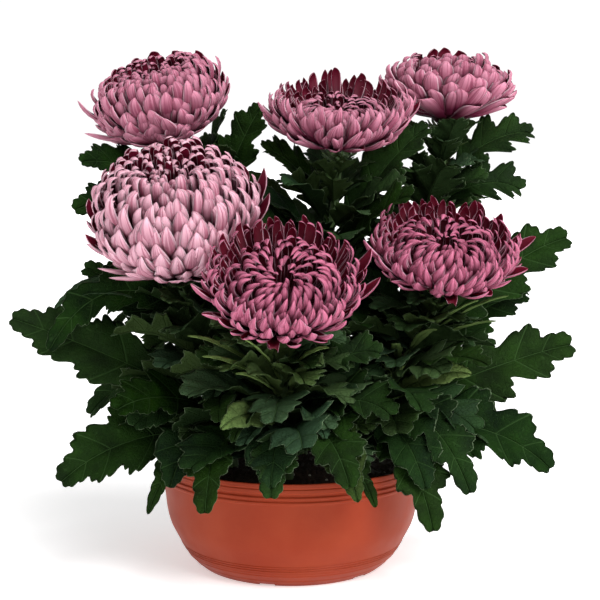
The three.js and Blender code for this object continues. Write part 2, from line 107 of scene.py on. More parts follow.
SOIL_LEVEL = 72
SOIL_MOUND = 5
STEM_DEPTH = 18  # how far a stem goes into the soil
CUP_HEIGHT = 7  # green cup under a bloom
CUP_RADIUS = 9.5

# Each flowering stem and its bloom, as in the frame: foot in the soil, middle of the bloom, the way
# it looks, radius, height above and below the widest place, hollow in its middle (depth in mm,
# width in degrees) and how far its florets curl in. The bud in its middle has a radius, the height
# of its widest place and a height above that. The whorls tell, for a share of the florets, how far
# they have opened from the bud to the outline, and their angle from the axis. Then the fine bloom:
# how many florets, their width, how far a floret wraps round itself, how blunt it is, the hook of
# its tip, how far the florets swirl and its tissue.
BALL = ((0, 1, 5), (0.36, 1, 42), (0.6, 1, 68), (0.81, 1, 92), (1, 1, 116))
DOME = ((0, 1, 6), (0.4, 1, 46), (0.75, 1, 74), (1, 1, 98))
BOWL = ((0, 0, 5), (0.42, 0, 76), (0.6, 1, 60), (0.72, 1, 65), (1, 1, 104))
CUP = ((0, 0, 5), (0.36, 0, 78), (0.64, 1, 56), (0.74, 1, 64), (1, 1, 104))
NARROW_FLORETS = dict(curl=1.15, whorls=BOWL, florets=345, width=10.8, wrap=1.4, blunt=2,
                      hook=0.25, swirl=6, tissue="deep")
BLOOMS = [
    dict(foot=(-42, -18), middle=(-81, -60, 267), axis=(-0.06, -0.5, 0.86), radius=60, up=46,
         down=44, eye=(13, 25), curl=1, bud=(20, 20, 20), whorls=BALL, florets=500, width=15,
         wrap=0.9, blunt=1.9, hook=0.6, swirl=2, tissue="pale"),
    dict(foot=(8, 14), middle=(36, 5, 338), axis=(0.03, -0.3, 0.95), radius=55, up=27,
         down=31, eye=(8, 28), curl=1, bud=(36, 29, 11), whorls=CUP, florets=330, width=11,
         wrap=1.3, blunt=1.9, hook=0.3, swirl=6, tissue="rose"),
    dict(foot=(-2, -50), middle=(-5, -130, 227), axis=(0.05, -0.6, 0.8), radius=53, up=26,
         down=33, eye=(15, 30), bud=(38, 32, 18), **NARROW_FLORETS),
    dict(foot=(-34, 34), middle=(-101, 55, 346), axis=(-0.22, -0.33, 0.92), radius=53, up=38,
         down=33, eye=(16, 32), curl=0.95, bud=(20, 20, 20), whorls=BALL, florets=340, width=14,
         wrap=0.9, blunt=2.2, hook=0.5, swirl=2, tissue="rose"),
    dict(foot=(40, 36), middle=(120, 60, 357), axis=(0.02, 0, 1), radius=51, up=28,
         down=30, eye=(8, 26), curl=0.9, bud=(20, 20, 20), whorls=DOME, florets=190, width=18,
         wrap=1, blunt=2.4, hook=0.5, swirl=2, tissue="rose"),
    dict(foot=(46, -22), middle=(108, -60, 243), axis=(0.08, -0.45, 0.89), radius=53, up=26,
         down=30, eye=(13, 30), bud=(38, 29, 17), **NARROW_FLORETS),
]

# Florets that have strayed from each bloom: turn about the axis and angle from it in degrees, how
# far they stand off, how far the tip bends down and how far it is swept aside in mm.
STRAYS = [
    [
        (8, 70, 0.2, 0, 3), (-4, 84, 0.16, 0, 6), (206, 104, 0.16, 0.1, -10),
        (236, 116, 0.2, 0.1, -24), (250, 122, 0.18, 0, -28), (278, 120, 0.2, 0.3, 26),
        (292, 118, 0.14, 0, 18), (184, 96, 0.1, 0, -4), (92, 36, 0.08, 0, 2),
        (128, 50, 0.08, 0, 3), (250, 104, 0.12, 0.2, -12), (266, 110, 0.1, 0.2, 9),
        (342, 100, 0.14, 0, 6),
    ],
    [
        (262, 108, 0.08, 0.7, 4), (236, 104, 0.1, 0.5, -4), (285, 106, 0.08, 0.6, 3),
        (186, 84, 0.14, 0, 0), (4, 82, 0.1, 0, 2), (306, 104, 0.06, 0.3, 4), (70, 48, 0.02, 0, -2),
        (94, 38, 0.06, 0, 2), (118, 50, 0.02, 0, 0),
    ],
    [
        (262, 98, 0.08, 1.7, 3), (216, 92, 0.2, 0.5, -4), (300, 98, 0.1, 0.9, 4),
        (196, 84, 0.2, 0, 0), (-10, 78, 0.22, 0, 4), (14, 70, 0.2, 0, 3), (66, 46, 0.04, 0, 2),
        (118, 46, 0.06, 0, -2), (246, 100, 0.05, 0.8, -6),
    ],
    [
        (186, 76, 0.22, 0, 0), (208, 108, 0.3, 0, -8), (304, 118, 0.06, 0.4, 8),
        (286, 114, 0.08, 0.5, 2), (92, 42, 0.08, 0, 0), (228, 104, 0.08, 0.3, -8),
        (64, 46, 0.05, 0, 2), (116, 44, 0.06, 0, -2), (140, 50, 0.05, 0, 0),
    ],
    [
        (296, 112, 0.1, 0.6, 2), (330, 104, 0.12, 0.3, 2), (200, 98, 0.12, 0, 0),
        (92, 24, 0.2, 0, 0), (250, 108, 0.08, 0.3, -6), (20, 84, 0.12, 0, 0), (66, 30, 0.16, 0, 1),
        (112, 28, 0.18, 0, -2), (80, 38, 0.1, 0, 1), (104, 38, 0.1, 0, -1), (52, 36, 0.06, 0, 1),
        (130, 36, 0.06, 0, 0), (342, 112, 0.14, 0.6, 6), (352, 100, 0.12, 0.4, 3),
    ],
    [
        (272, 98, 0.1, 1.6, 3), (8, 76, 0.24, 0.6, 2), (-18, 90, 0.16, 0.6, 2),
        (196, 80, 0.2, 0, 0), (228, 94, 0.12, 0.7, -3), (306, 98, 0.08, 1, 2),
    ],
]

# Each large leaf, as in the frame: the share of the stem where it grows, its tip, the height of its
# arch, its half width and its roll about the midrib in degrees.
LEAVES = [
    [
        (0.31, (-203, -25, 187), 4, 38, -60), (0.2, (-163, -66, 76), 20, 38, -55),
        (0.22, (-58, -128, 70), 34, 32, 10), (0.19, (-101, -80, 56), 30, 17, -55),
        (0.66, (-172, -52, 168), 44, 25, -70), (0.5, (-152, -8, 222), 10, 26, -55),
        (0.28, (-120, -88, 132), 14, 32, -40), (0.33, (-48, -128, 132), 14, 22, 20),
        (0.5, (-22, -38, 205), 10, 26, 30), (0.42, (-98, 28, 178), 10, 26, -20),
    ],
    [
        (0.78, (-19, 12, 308), 12, 28, -40), (0.64, (102, 22, 324), 14, 30, 45),
        (0.56, (-34, -34, 258), 16, 32, -45), (0.52, (84, -40, 262), 16, 32, 45),
        (0.7, (20, 92, 290), 20, 34, 0), (0.45, (-42, 102, 228), 24, 38, 20),
        (0.38, (64, 108, 206), 24, 38, -20), (0.25, (8, 130, 132), 30, 40, 0),
        (0.4, (-30, 0, 196), 12, 26, -30), (0.36, (58, -28, 186), 12, 26, 30),
    ],
    [
        (0.24, (38, -138, 90), 32, 34, 15), (0.2, (56, -122, 72), 32, 19, 0),
        (0.42, (-38, -136, 120), 16, 22, 25), (0.62, (12, -128, 168), 8, 22, 0),
        (0.34, (66, -112, 126), 18, 32, 30), (0.5, (60, -92, 172), 12, 26, 40),
        (0.2, (-14, -134, 82), 30, 30, -5), (0.5, (-62, -92, 168), 12, 28, -40),
        (0.46, (34, -22, 182), 10, 24, 30), (0.36, (-52, -52, 136), 10, 24, -20),
    ],
    [
        (0.82, (-156, 12, 306), 10, 27, -50), (0.7, (-160, 2, 264), 14, 30, -55),
        (0.78, (-52, 82, 336), 8, 24, 0), (0.66, (-24, 80, 340), 10, 28, 45),
        (0.6, (-142, 116, 246), 22, 36, 0), (0.42, (-138, 92, 168), 26, 40, -10),
        (0.3, (-64, 134, 132), 30, 38, 0), (0.22, (-156, 36, 104), 30, 38, -35),
        (0.55, (-94, -6, 232), 10, 26, -20), (0.5, (-18, 42, 236), 10, 26, 20),
    ],
    [
        (0.84, (187, 70, 320), 12, 28, 45), (0.74, (176, 50, 284), 14, 30, 50),
        (0.86, (122, 10, 330), 6, 22, 0), (0.66, (88, 6, 296), 12, 28, -30),
        (0.62, (148, 124, 258), 22, 36, 0), (0.45, (188, 92, 192), 26, 40, 20),
        (0.3, (98, 138, 126), 30, 38, 0), (0.2, (160, 58, 98), 30, 38, 35),
        (0.52, (52, 6, 226), 10, 26, -20), (0.36, (100, 12, 158), 10, 26, 0),
    ],
    [
        (0.3, (209, 4, 163), 6, 38, 60), (0.2, (185, -54, 82), 28, 38, 50),
        (0.2, (97, -102, 50), 40, 36, 10), (0.26, (136, -76, 64), 38, 32, 25),
        (0.6, (207, 18, 242), 14, 34, 60), (0.46, (178, 24, 198), 14, 28, 50),
        (0.32, (76, -122, 138), 20, 34, -15), (0.5, (132, -108, 166), 12, 22, 20),
        (0.42, (66, 10, 200), 10, 26, -20), (0.4, (120, -20, 186), 10, 24, 20),
    ],
]

# The turns, in degrees about the stem, and lifts in mm that a leaf of the frame may have taken.
BENDS = [
    (0, 0), (0, 7), (0, -7), (6, 0), (-6, 0), (6, 7), (-6, 7), (0, 14), (12, 0), (-12, 0),
    (12, 10), (-12, 10), (0, -14), (18, 0), (-18, 0), (18, 12), (-18, 12), (0, 22), (24, 8),
    (-24, 8), (0, 30), (32, 0), (-32, 0), (32, 16), (-32, 16),
]

# Leaves that stand out by their colour or narrowness: stem, share of the stem, tip, arch, half
# width, roll, how yellow-green and how greyish with a painted sheen. On the leaves in the shade of
# the blooms at the front, both are raised as painted light.
ODD_LEAVES = [
    (3, 0.34, (-46, -152, 132), 12, 17, -55, 0.42, 0.3),
    (6, 0.34, (123, -92, 157), 12, 17, 60, 0.95, 0.5),
    (1, 0.3, (-46, -108, 132), 12, 20, 20, 0.1, 1),
    (1, 0.62, (-170, -40, 196), 30, 17, -35, 0.05, 1),
    (3, 0.3, (22, -118, 118), 20, 22, -20, 0, 0.8), (5, 0.5, (78, -8, 250), 14, 24, -30, 0.35, 0),
    (4, 0.45, (-70, -22, 208), 16, 24, 30, 0.3, 0),
    (2, 0.66, (-30, -10, 272), 14, 26, -30, 0, 0.3), (2, 0.6, (-44, 24, 284), 16, 26, -40, 0.1, 0),
    (2, 0.72, (-4, -36, 284), 14, 24, -20, 0, 0.5), (2, 0.5, (-46, -6, 238), 14, 26, -30, 0.05, 0),
    (2, 0.66, (82, -6, 284), 14, 26, 30, 0.05, 0.3), (2, 0.5, (22, -52, 232), 14, 26, 0, 0.1, 0),
    (4, 0.7, (-52, 36, 284), 14, 24, 30, 0, 0.3), (4, 0.58, (-46, 20, 252), 14, 26, 30, 0, 0),
    (5, 0.66, (66, 30, 282), 14, 24, -30, 0.1, 0), (3, 0.24, (-14, -132, 88), 28, 34, 10, 0, 0.3),
    (3, 0.22, (44, -132, 78), 34, 28, 15, 0.12, 0), (6, 0.22, (92, -98, 78), 30, 34, 10, 0, 0.2),
    (1, 0.2, (-84, -92, 78), 28, 34, -10, 0, 0.2), (5, 0.4, (86, -6, 216), 10, 28, 20, 0.05, 0.3),
    (5, 0.2, (80, -10, 128), 14, 28, 20, 0, 0.2), (6, 0.72, (48, -24, 220), 4, 24, -30, 0, 0.2),
    (6, 0.62, (54, -40, 206), 6, 24, -30, 0.05, 0.4),
    (3, 0.44, (-28, -132, 164), 12, 18, -30, 0.4, 1),
    (3, 0.46, (20, -130, 170), 12, 16, 30, 0.35, 1),
    (3, 0.56, (-68, -132, 190), 8, 5, -40, 0.95, 0.4),
    (3, 0.54, (-58, -142, 178), 6, 5, -40, 0.9, 0.4),
    (3, 0.6, (-30, -148, 190), 5, 5, -40, 0.9, 0), (3, 0.5, (-36, -150, 168), 5, 5, -40, 0.8, 0),
    (3, 0.64, (24, -144, 184), 5, 5, 40, 0.8, 0), (6, 0.62, (142, -75, 192), 6, 6, 0, 0.5, 0.4),
    (6, 0.68, (152, -62, 208), 6, 6, 10, 0.5, 0.3), (6, 0.6, (98, -104, 190), 6, 6, -10, 0.4, 0.5),
    (6, 0.55, (70, -92, 178), 6, 6, 0, 0.4, 0.5), (6, 0.7, (128, -86, 208), 4, 5, 20, 0.6, 0),
]

# Young shoots in the axils: stem, share of the stem, how many leaflets, their length.
SHOOTS = [(3, 0.5, 12, 24), (6, 0.5, 9, 24), (1, 0.72, 7, 20), (2, 0.6, 8, 26), (5, 0.7, 7, 22)]


# ---------------------------------------------------------------- curves and drafts

def cubic(points, t):
    """A point on a cubic curve."""
    a, b, c, d = points
    s = 1 - t
    return a * s ** 3 + b * (3 * s * s * t) + c * (3 * s * t * t) + d * t ** 3


def cubic_ahead(points, t):
    """The way along a cubic curve."""
    a, b, c, d = points
    s = 1 - t
    return ((b - a) * s * s + (c - b) * (2 * s * t) + (d - c) * t * t).normalized()


def lerp(a, b, t):
    return a + (b - a) * t


def smooth(t):
    """An even rise from 0 to 1, level at both ends."""
    t = min(1, max(0, t))
    return t * t * (3 - 2 * t)


class Draft:
    """Points in millimetres with faces, a UV place and named values, which become one mesh."""

    def __init__(self, *values):
        self.points = []
        self.uvs = []
        self.faces = []
        self.values = {name: [] for name in values}

    def add_point(self, point, uv=(0, 0), **values):
        self.points.append(Vector(point) * MM)
        self.uvs.append(uv)
        for name, row in self.values.items():
            row.append(values.get(name, 0))
        return len(self.points) - 1

    def add_blade(self, grid, **same):
        """A thin closed blade from rows of places, each with its front point, its back point and
        its u, v and nearness to the edge. Both sides share the points of the border."""
        rows, columns = len(grid), len(grid[0])
        sheets = []
        for side in (0, 1):
            sheet = {}
            for i, row in enumerate(grid):
                for j, (*points, (u, v, edge)) in enumerate(row):
                    border = i in (0, rows - 1) or j in (0, columns - 1)
                    if border and side:
                        sheet[i, j] = sheets[0][i, j]
                    else:
                        sheet[i, j] = self.add_point(points[side], (u, v), edge=edge,
                                                     side=0.5 if border else side, **same)
            sheets.append(sheet)
        for i in range(rows - 1):
            for j in range(columns - 1):
                around = ((i, j), (i, j + 1), (i + 1, j + 1), (i + 1, j))
                self.faces.append([sheets[0][corner] for corner in around])
                self.faces.append([sheets[1][corner] for corner in reversed(around)])

    def add_turned(self, outline, segments, bend=None, **same):
        """A solid of revolution about Z; the outline starts and ends on the axis."""
        rings = []
        for radius, height in outline:
            ring = []
            for i in range(segments if radius else 1):
                turn = 2 * math.pi * i / segments
                point = Vector((radius * math.cos(turn), radius * math.sin(turn), height))
                ring.append(self.add_point(bend(point) if bend else point, **same))
            rings.append(ring)
        for low, high in zip(rings, rings[1:]):
            for i in range(segments):
                around = ((low, i), (low, i + 1), (high, i + 1), (high, i))
                face = list(dict.fromkeys(ring[k % segments % len(ring)] for ring, k in around))
                if len(face) > 2:
                    self.faces.append(face)

    def to_mesh(self, name):
        mesh = bpy.data.meshes.new(name)
        mesh.from_pydata(self.points, [], self.faces)
        places = mesh.uv_layers.new(name="UVMap")
        corners = [0] * len(mesh.loops)
        mesh.loops.foreach_get("vertex_index", corners)
        places.data.foreach_set("uv", [part for corner in corners for part in self.uvs[corner]])
        for value, row in self.values.items():
            mesh.attributes.new(value, "FLOAT", "POINT").data.foreach_set("value", row)
        mesh.shade_smooth()
        mesh.update()
        return mesh


def add_piece(name, mesh, material=None, replaces=()):
    """Puts a finished mesh into the scene as a piece that rides on the frame's one body."""
    if material:
        mesh.materials.clear()
        mesh.materials.append(material)
    piece = bpy.data.objects.new(name, mesh)
    bpy.context.collection.objects.link(piece)
    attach(piece, "root")
    if replaces:
        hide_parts(*replaces)
    return piece


# ---------------------------------------------------------------- node trees

NODE_FAMILIES = ("ShaderNode", "GeometryNode", "FunctionNode", "Node")


def add_node(tree, kind, sockets=None, **settings):
    """Adds a node to a tree, sets its options, and links or sets its input sockets."""
    family = next(one for one in NODE_FAMILIES if hasattr(bpy.types, one + kind))
    node = tree.nodes.new(family + kind)
    for name, value in settings.items():
        setattr(node, name, value)
    for key, value in (sockets or {}).items():
        if isinstance(key, int):
            socket = node.inputs[key]
        else:
            socket = next(one for one in node.inputs if one.name == key and one.enabled)
        if isinstance(value, bpy.types.Node):
            value = next(one for one in value.outputs if one.enabled)
        if isinstance(value, bpy.types.NodeSocket):
            tree.links.new(value, socket)
        else:
            socket.default_value = value
    return node


def start_tree(name, **inputs):
    """A geometry tree with the named inputs given, and what adds nodes to it."""
    tree = bpy.data.node_groups.new(name, "GeometryNodeTree")
    face = tree.interface
    face.new_socket("Geometry", in_out="OUTPUT", socket_type="NodeSocketGeometry")
    face.new_socket("Geometry", in_out="INPUT", socket_type="NodeSocketGeometry")
    for title, (kind, value) in inputs.items():
        socket = face.new_socket(title, in_out="INPUT", socket_type="NodeSocket" + kind)
        if value is not None:
            socket.default_value = value
    add = partial(add_node, tree)
    return tree, add("GroupInput").outputs, add


def end_tree(tree, given, shape):
    """Closes a tree: real geometry instead of instances, then the material."""
    real = add_node(tree, "RealizeInstances", {"Geometry": shape})
    painted = add_node(tree, "SetMaterial", {"Geometry": real, "Material": given["Material"]})
    add_node(tree, "GroupOutput", {"Geometry": painted})
    return tree


def grow(tree, name, base, **values):
    """The plain mesh that a tree makes from a base mesh with its named inputs set."""
    carrier = bpy.data.objects.new(name, base)
    bpy.context.collection.objects.link(carrier)
    modifier = carrier.modifiers.new(name, "NODES")
    modifier.node_group = tree
    for socket in tree.interface.items_tree:
        if socket.in_out == "INPUT" and socket.name in values:
            modifier[socket.identifier] = values[socket.name]
    graph = bpy.context.evaluated_depsgraph_get()
    mesh = bpy.data.meshes.new_from_object(carrier.evaluated_get(graph))
    mesh.name = name
    bpy.data.objects.remove(carrier)
    return mesh


def whorl_tree():
    """Florets or bracts round an axis by the golden angle, from eye to rim, each a little off."""
    tree, given, add = start_tree(
        "golden_whorl",
        Count=("Int", 200), Turn=("Float", GOLDEN_ANGLE), Kinds=("Int", 3), Rows=("Int", 30),
        Tilt=("Float", 0.04), Smallest=("Float", 0.95), Largest=("Float", 1.04), Seed=("Int", 1),
        Prototypes=("Collection", None), Material=("Material", None),
    )
    points = add("Points", {"Count": given["Count"]})
    index = add("InputIndex")
    turn = add("Math", {0: index, 1: given["Turn"]}, operation="MULTIPLY")
    row = add("Math", {0: index, 1: given["Rows"]}, operation="MULTIPLY")
    row = add("Math", {0: row, 1: given["Count"]}, operation="DIVIDE")
    row = add("Math", {0: row}, operation="FLOOR")
    first = add("Math", {0: row, 1: given["Kinds"]}, operation="MULTIPLY")
    last = add("Math", {0: given["Kinds"], 1: 1.0}, operation="SUBTRACT")
    kind = add("RandomValue", {"Min": 0, "Max": last, "Seed": given["Seed"]}, data_type="INT")
    pick = add("Math", {0: first, 1: kind}, operation="ADD")
    prototypes = add("CollectionInfo", {
        "Collection": given["Prototypes"], "Separate Children": True, "Reset Children": True})
    whorl = add("InstanceOnPoints", {
        "Points": points, "Instance": prototypes, "Pick Instance": True, "Instance Index": pick,
        "Rotation": add("CombineXYZ", {"Z": turn})})
    less = add("Math", {0: given["Tilt"], 1: -1.0}, operation="MULTIPLY")
    off = add("RandomValue", {"Min": less, "Max": given["Tilt"], "Seed": given["Seed"]},
              data_type="FLOAT_VECTOR")
    whorl = add("RotateInstances", {"Instances": whorl, "Rotation": off})
    size = add("RandomValue", {
        "Min": given["Smallest"], "Max": given["Largest"], "Seed": given["Seed"]})
    whorl = add("ScaleInstances", {"Instances": whorl, "Scale": size})
    shade = add("RandomValue", {"Min": 0.0, "Max": 1.0, "Seed": given["Seed"]})
    whorl = add("StoreNamedAttribute", {"Geometry": whorl, "Name": "shade", "Value": shade},
                domain="INSTANCE")
    both = add("JoinGeometry", {"Geometry": whorl})
    tree.links.new(given["Geometry"], both.inputs[0])
    return end_tree(tree, given, both)


def stem_tree():
    """A ribbed stem along a path, thinner towards its bloom. Each rib takes four corners."""
    tree, given, add = start_tree(
        "ribbed_stem",
        Foot=("Float", 0.0036), Top=("Float", 0.0027), Ribs=("Int", 7), Depth=("Float", 0.1),
        Material=("Material", None),
    )
    path = add("MeshToCurve", {"Mesh": given["Geometry"]})
    radius = add("MapRange", {
        "Value": add("SplineParameter"), "To Min": given["Foot"], "To Max": given["Top"]})
    path = add("SetCurveRadius", {"Curve": path, "Radius": radius})
    corners = add("Math", {0: given["Ribs"], 1: 4.0}, operation="MULTIPLY")
    ring = add("CurvePrimitiveCircle", {"Resolution": corners, "Radius": 1.0})
    wave = add("Math", {0: add("InputIndex"), 1: math.pi / 2}, operation="MULTIPLY")
    wave = add("Math", {0: wave}, operation="COSINE")
    wave = add("Math", {0: wave, 1: given["Depth"], 2: 1.0}, operation="MULTIPLY_ADD")
    place = add("VectorMath", {0: add("InputPosition"), "Scale": wave}, operation="SCALE")
    ring = add("SetPosition", {"Geometry": ring, "Position": place})
    tube = add("CurveToMesh", {
        "Curve": path, "Profile Curve": ring, "Scale": radius, "Fill Caps": True})
    return end_tree(tree, given, add("SetShadeSmooth", {"Geometry": tube}))


def grain_tree():
    """Small grains, crumbs or drops scattered over the upward faces of a surface."""
    tree, given, add = start_tree(
        "scattered_grains",
        Density=("Float", 1000.0), Smallest=("Float", 0.0005), Largest=("Float", 0.002),
        Flatness=("Float", 0.7), Roundness=("Int", 1), Seed=("Int", 1), Steepest=("Float", 0.5),
        Smooth=("Bool", False), Material=("Material", None),
    )
    normal = add("SeparateXYZ", {"Vector": add("InputNormal")})
    upward = add("Compare", {0: normal.outputs["Z"], 1: given["Steepest"]},
                 operation="GREATER_THAN")
    spread = add("DistributePointsOnFaces", {
        "Mesh": given["Geometry"], "Selection": upward, "Density": given["Density"],
        "Seed": given["Seed"]})
    grain = add("MeshIcoSphere", {"Radius": 1.0, "Subdivisions": given["Roundness"]})
    grain = add("SetShadeSmooth", {"Geometry": grain, "Shade Smooth": given["Smooth"]})
    size = add("RandomValue", {
        "Min": given["Smallest"], "Max": given["Largest"], "Seed": given["Seed"]})
    flat = add("Math", {0: size, 1: given["Flatness"]}, operation="MULTIPLY")
    grains = add("InstanceOnPoints", {
        "Points": spread, "Instance": grain, "Rotation": spread.outputs["Rotation"],
        "Scale": add("CombineXYZ", {"X": size, "Y": size, "Z": flat})})
    return end_tree(tree, given, grains)


# ---------------------------------------------------------------- finishes

def srgb(colour):
    """A linear colour from sRGB hex."""
    parts = [int(colour[i:i + 2], 16) / 255 for i in (1, 3, 5)]
    return [part / 12.92 if part <= 0.04045 else ((part + 0.055) / 1.055) ** 2.4
            for part in parts] + [1]


def opaque(colour):
    return [*colour, 1]


def start_material(name):
    """An empty material, and what adds nodes to it."""
    material = bpy.data.materials.new(name)
    material.use_nodes = True
    material.node_tree.nodes.clear()
    return material, partial(add_node, material.node_tree)


def end_material(material, surface):
    add_node(material.node_tree, "OutputMaterial", {"Surface": surface})
    return material


def moulded_polypropylene(settings):
    """Injection-moulded polypropylene in terracotta: an even satin skin with an orange peel of
    about 1 mm, paler patches some 45 mm wide where it is worn, and duller scuffs between them."""
    material, add = start_material("moulded_polypropylene_terracotta")
    place = add("TexCoord").outputs["Object"]
    cloud = add("TexNoise", {"Vector": place, "Scale": 22.0, "Detail": 4.0, "Roughness": 0.6})
    worn = add("MapRange", {"Value": cloud, "From Min": 0.35, "From Max": 0.7})
    colour = add("Mix", {"Factor": worn, "A": opaque(settings.colour),
                         "B": opaque(settings.worn_colour)}, data_type="RGBA")
    peel = add("TexNoise", {"Vector": place, "Scale": 900.0, "Detail": 2.0})
    scuff = add("TexNoise", {"Vector": place, "Scale": 60.0, "Detail": 6.0})
    rough = add("MapRange", {
        "Value": scuff, "From Min": 0.3, "From Max": 0.75, "To Min": 0.4, "To Max": 0.56})
    bump = add("Bump", {"Height": peel, "Strength": 0.12, "Distance": 0.0003})
    return end_material(material, add("BsdfPrincipled", {
        "Base Color": colour, "Roughness": rough, "Normal": bump, "Specular IOR Level": 0.12}))


def damp_peat():
    """Damp peat and bark: near-black brown, matt, fibrous at 1 to 3 mm."""
    material, add = start_material("damp_peat_and_bark")
    place = add("TexCoord").outputs["Object"]
    fibre = add("TexNoise", {"Vector": place, "Scale": 420.0, "Detail": 8.0})
    colour = add("Mix", {"Factor": fibre, "A": srgb("#120C08"), "B": srgb("#4A3424")},
                 data_type="RGBA")
    bump = add("Bump", {"Height": fibre, "Strength": 0.9, "Distance": 0.0012})
    return end_material(material, add("BsdfPrincipled", {
        "Base Color": colour, "Roughness": 0.9, "Normal": bump}))


def expanded_perlite():
    """Expanded perlite: chalky off-white grains, foamed at 0.4 mm and quite matt."""
    material, add = start_material("expanded_perlite")
    foam = add("TexVoronoi", {"Vector": add("TexCoord").outputs["Object"], "Scale": 2500.0})
    colour = add("Mix", {"Factor": foam, "A": srgb("#8C8478"), "B": srgb("#E4DED2")},
                 data_type="RGBA")
    return end_material(material, add("BsdfPrincipled", {"Base Color": colour, "Roughness": 0.95}))


def clear_water():
    """A drop of clear water: smooth, with the index of refraction of water."""
    material, add = start_material("clear_water")
    return end_material(material, add("BsdfPrincipled", {
        "Base Color": opaque((1, 1, 1)), "Roughness": 0.02, "IOR": 1.333,
        "Transmission Weight": 1.0}))


def green_stem():
    """Ribbed herbaceous stem: pale ribs and darker furrows in streaks 1 mm wide and 9 mm long, with
    a fine down that dulls the skin."""
    material, add = start_material("herbaceous_stem")
    place = add("TexCoord").outputs["Object"]
    place = add("Mapping", {"Vector": place, "Scale": (1, 1, 0.12)})
    streak = add("TexNoise", {"Vector": place, "Scale": 900.0, "Detail": 3.0})
    colour = add("Mix", {"Factor": streak, "A": srgb("#24401E"), "B": srgb("#6F8F52")},
                 data_type="RGBA")
    bump = add("Bump", {"Height": streak, "Strength": 0.4, "Distance": 0.0004})
    return end_material(material, add("BsdfPrincipled", {
        "Base Color": colour, "Roughness": 0.55, "Normal": bump, "Sheen Weight": 0.15}))


def leaf_tissue(settings):
    """Chrysanthemum leaf: thick dark green blade, slightly paler veins that branch from the
    midrib, a net of 3 mm meshes between them, painted light in lighter patches some 20 mm wide,
    a greyish green on some leaves that is partly their own tone and partly a painted sheen in place
    of a low satin gloss, and a greyish green downy underside."""
    material, add = start_material("chrysanthemum_leaf")
    place = add("TexCoord").outputs["Object"]
    uv = add("SeparateXYZ", {"Vector": add("UVMap", uv_map="UVMap")})
    side, tint, grey, edge = (add("Attribute", attribute_name=value).outputs["Fac"]
                              for value in ("side", "tint", "grey", "edge"))
    net = add("TexVoronoi", {"Vector": place, "Scale": 330.0}, feature="DISTANCE_TO_EDGE")
    lines = add("MapRange", {
        "Value": net, "From Min": 0.0, "From Max": 0.09, "To Min": 0.14, "To Max": 0.0})
    # x of the UV map is the distance across in decimetres from 0.5, y the share of the length
    veins = [("X", 0.5, 0.002, 0.55)] + [("Y", share, 0.001, 0.3) for share in SIDE_VEINS]
    for axis, middle, half, strength in veins:
        away = add("Math", {0: uv.outputs[axis], 1: middle}, operation="SUBTRACT")
        away = add("Math", {0: away}, operation="ABSOLUTE")
        vein = add("MapRange", {
            "Value": away, "From Min": half, "From Max": 0.008, "To Min": strength, "To Max": 0.0})
        lines = add("Math", {0: lines, 1: vein}, operation="MAXIMUM")
    cloud = add("TexNoise", {"Vector": place, "Scale": 45.0, "Detail": 5.0})
    # painted light: random patches in the lit green stand for places where light falls on the blade
    patch = add("MapRange", {"Value": cloud, "From Min": 0.35, "From Max": 0.65})
    under = add("Mix", {"Factor": lines, "A": srgb("#1A2A15"), "B": srgb("#3A5030")},
                data_type="RGBA")
    below = add("Math", {0: side, 1: 0.5}, operation="GREATER_THAN")
    rim = add("MapRange", {
        "Value": edge, "From Min": 0.965, "From Max": 0.99, "To Min": 0.0, "To Max": 0.6})
    colour = opaque(settings.leaf_dark)
    # and on leaves in the shade of the blooms it also stands for light that falls there
    # painted sheen: the greyish green coat is partly the leaves' own tone and partly a painted
    # sheen,
    coats = ((patch, opaque(settings.leaf_lit)), (grey, srgb("#2F4532")),
             (lines, opaque(settings.vein)), (below, under), (tint, srgb("#7C9654")),
             (rim, srgb("#7E9270")))
    for share, coat in coats:
        colour = add("Mix", {"Factor": share, "A": colour, "B": coat}, data_type="RGBA")
    height = add("Math", {0: lines, 1: -0.8, 2: cloud}, operation="MULTIPLY_ADD")
    bump = add("Bump", {"Height": height, "Strength": 1.0, "Distance": 0.004})
    rough = add("MapRange", {"Value": below, "To Min": 0.5, "To Max": 0.8})
    return end_material(material, add("BsdfPrincipled", {
        "Base Color": colour, "Roughness": rough, "Specular IOR Level": 0.01, "Normal": bump}))


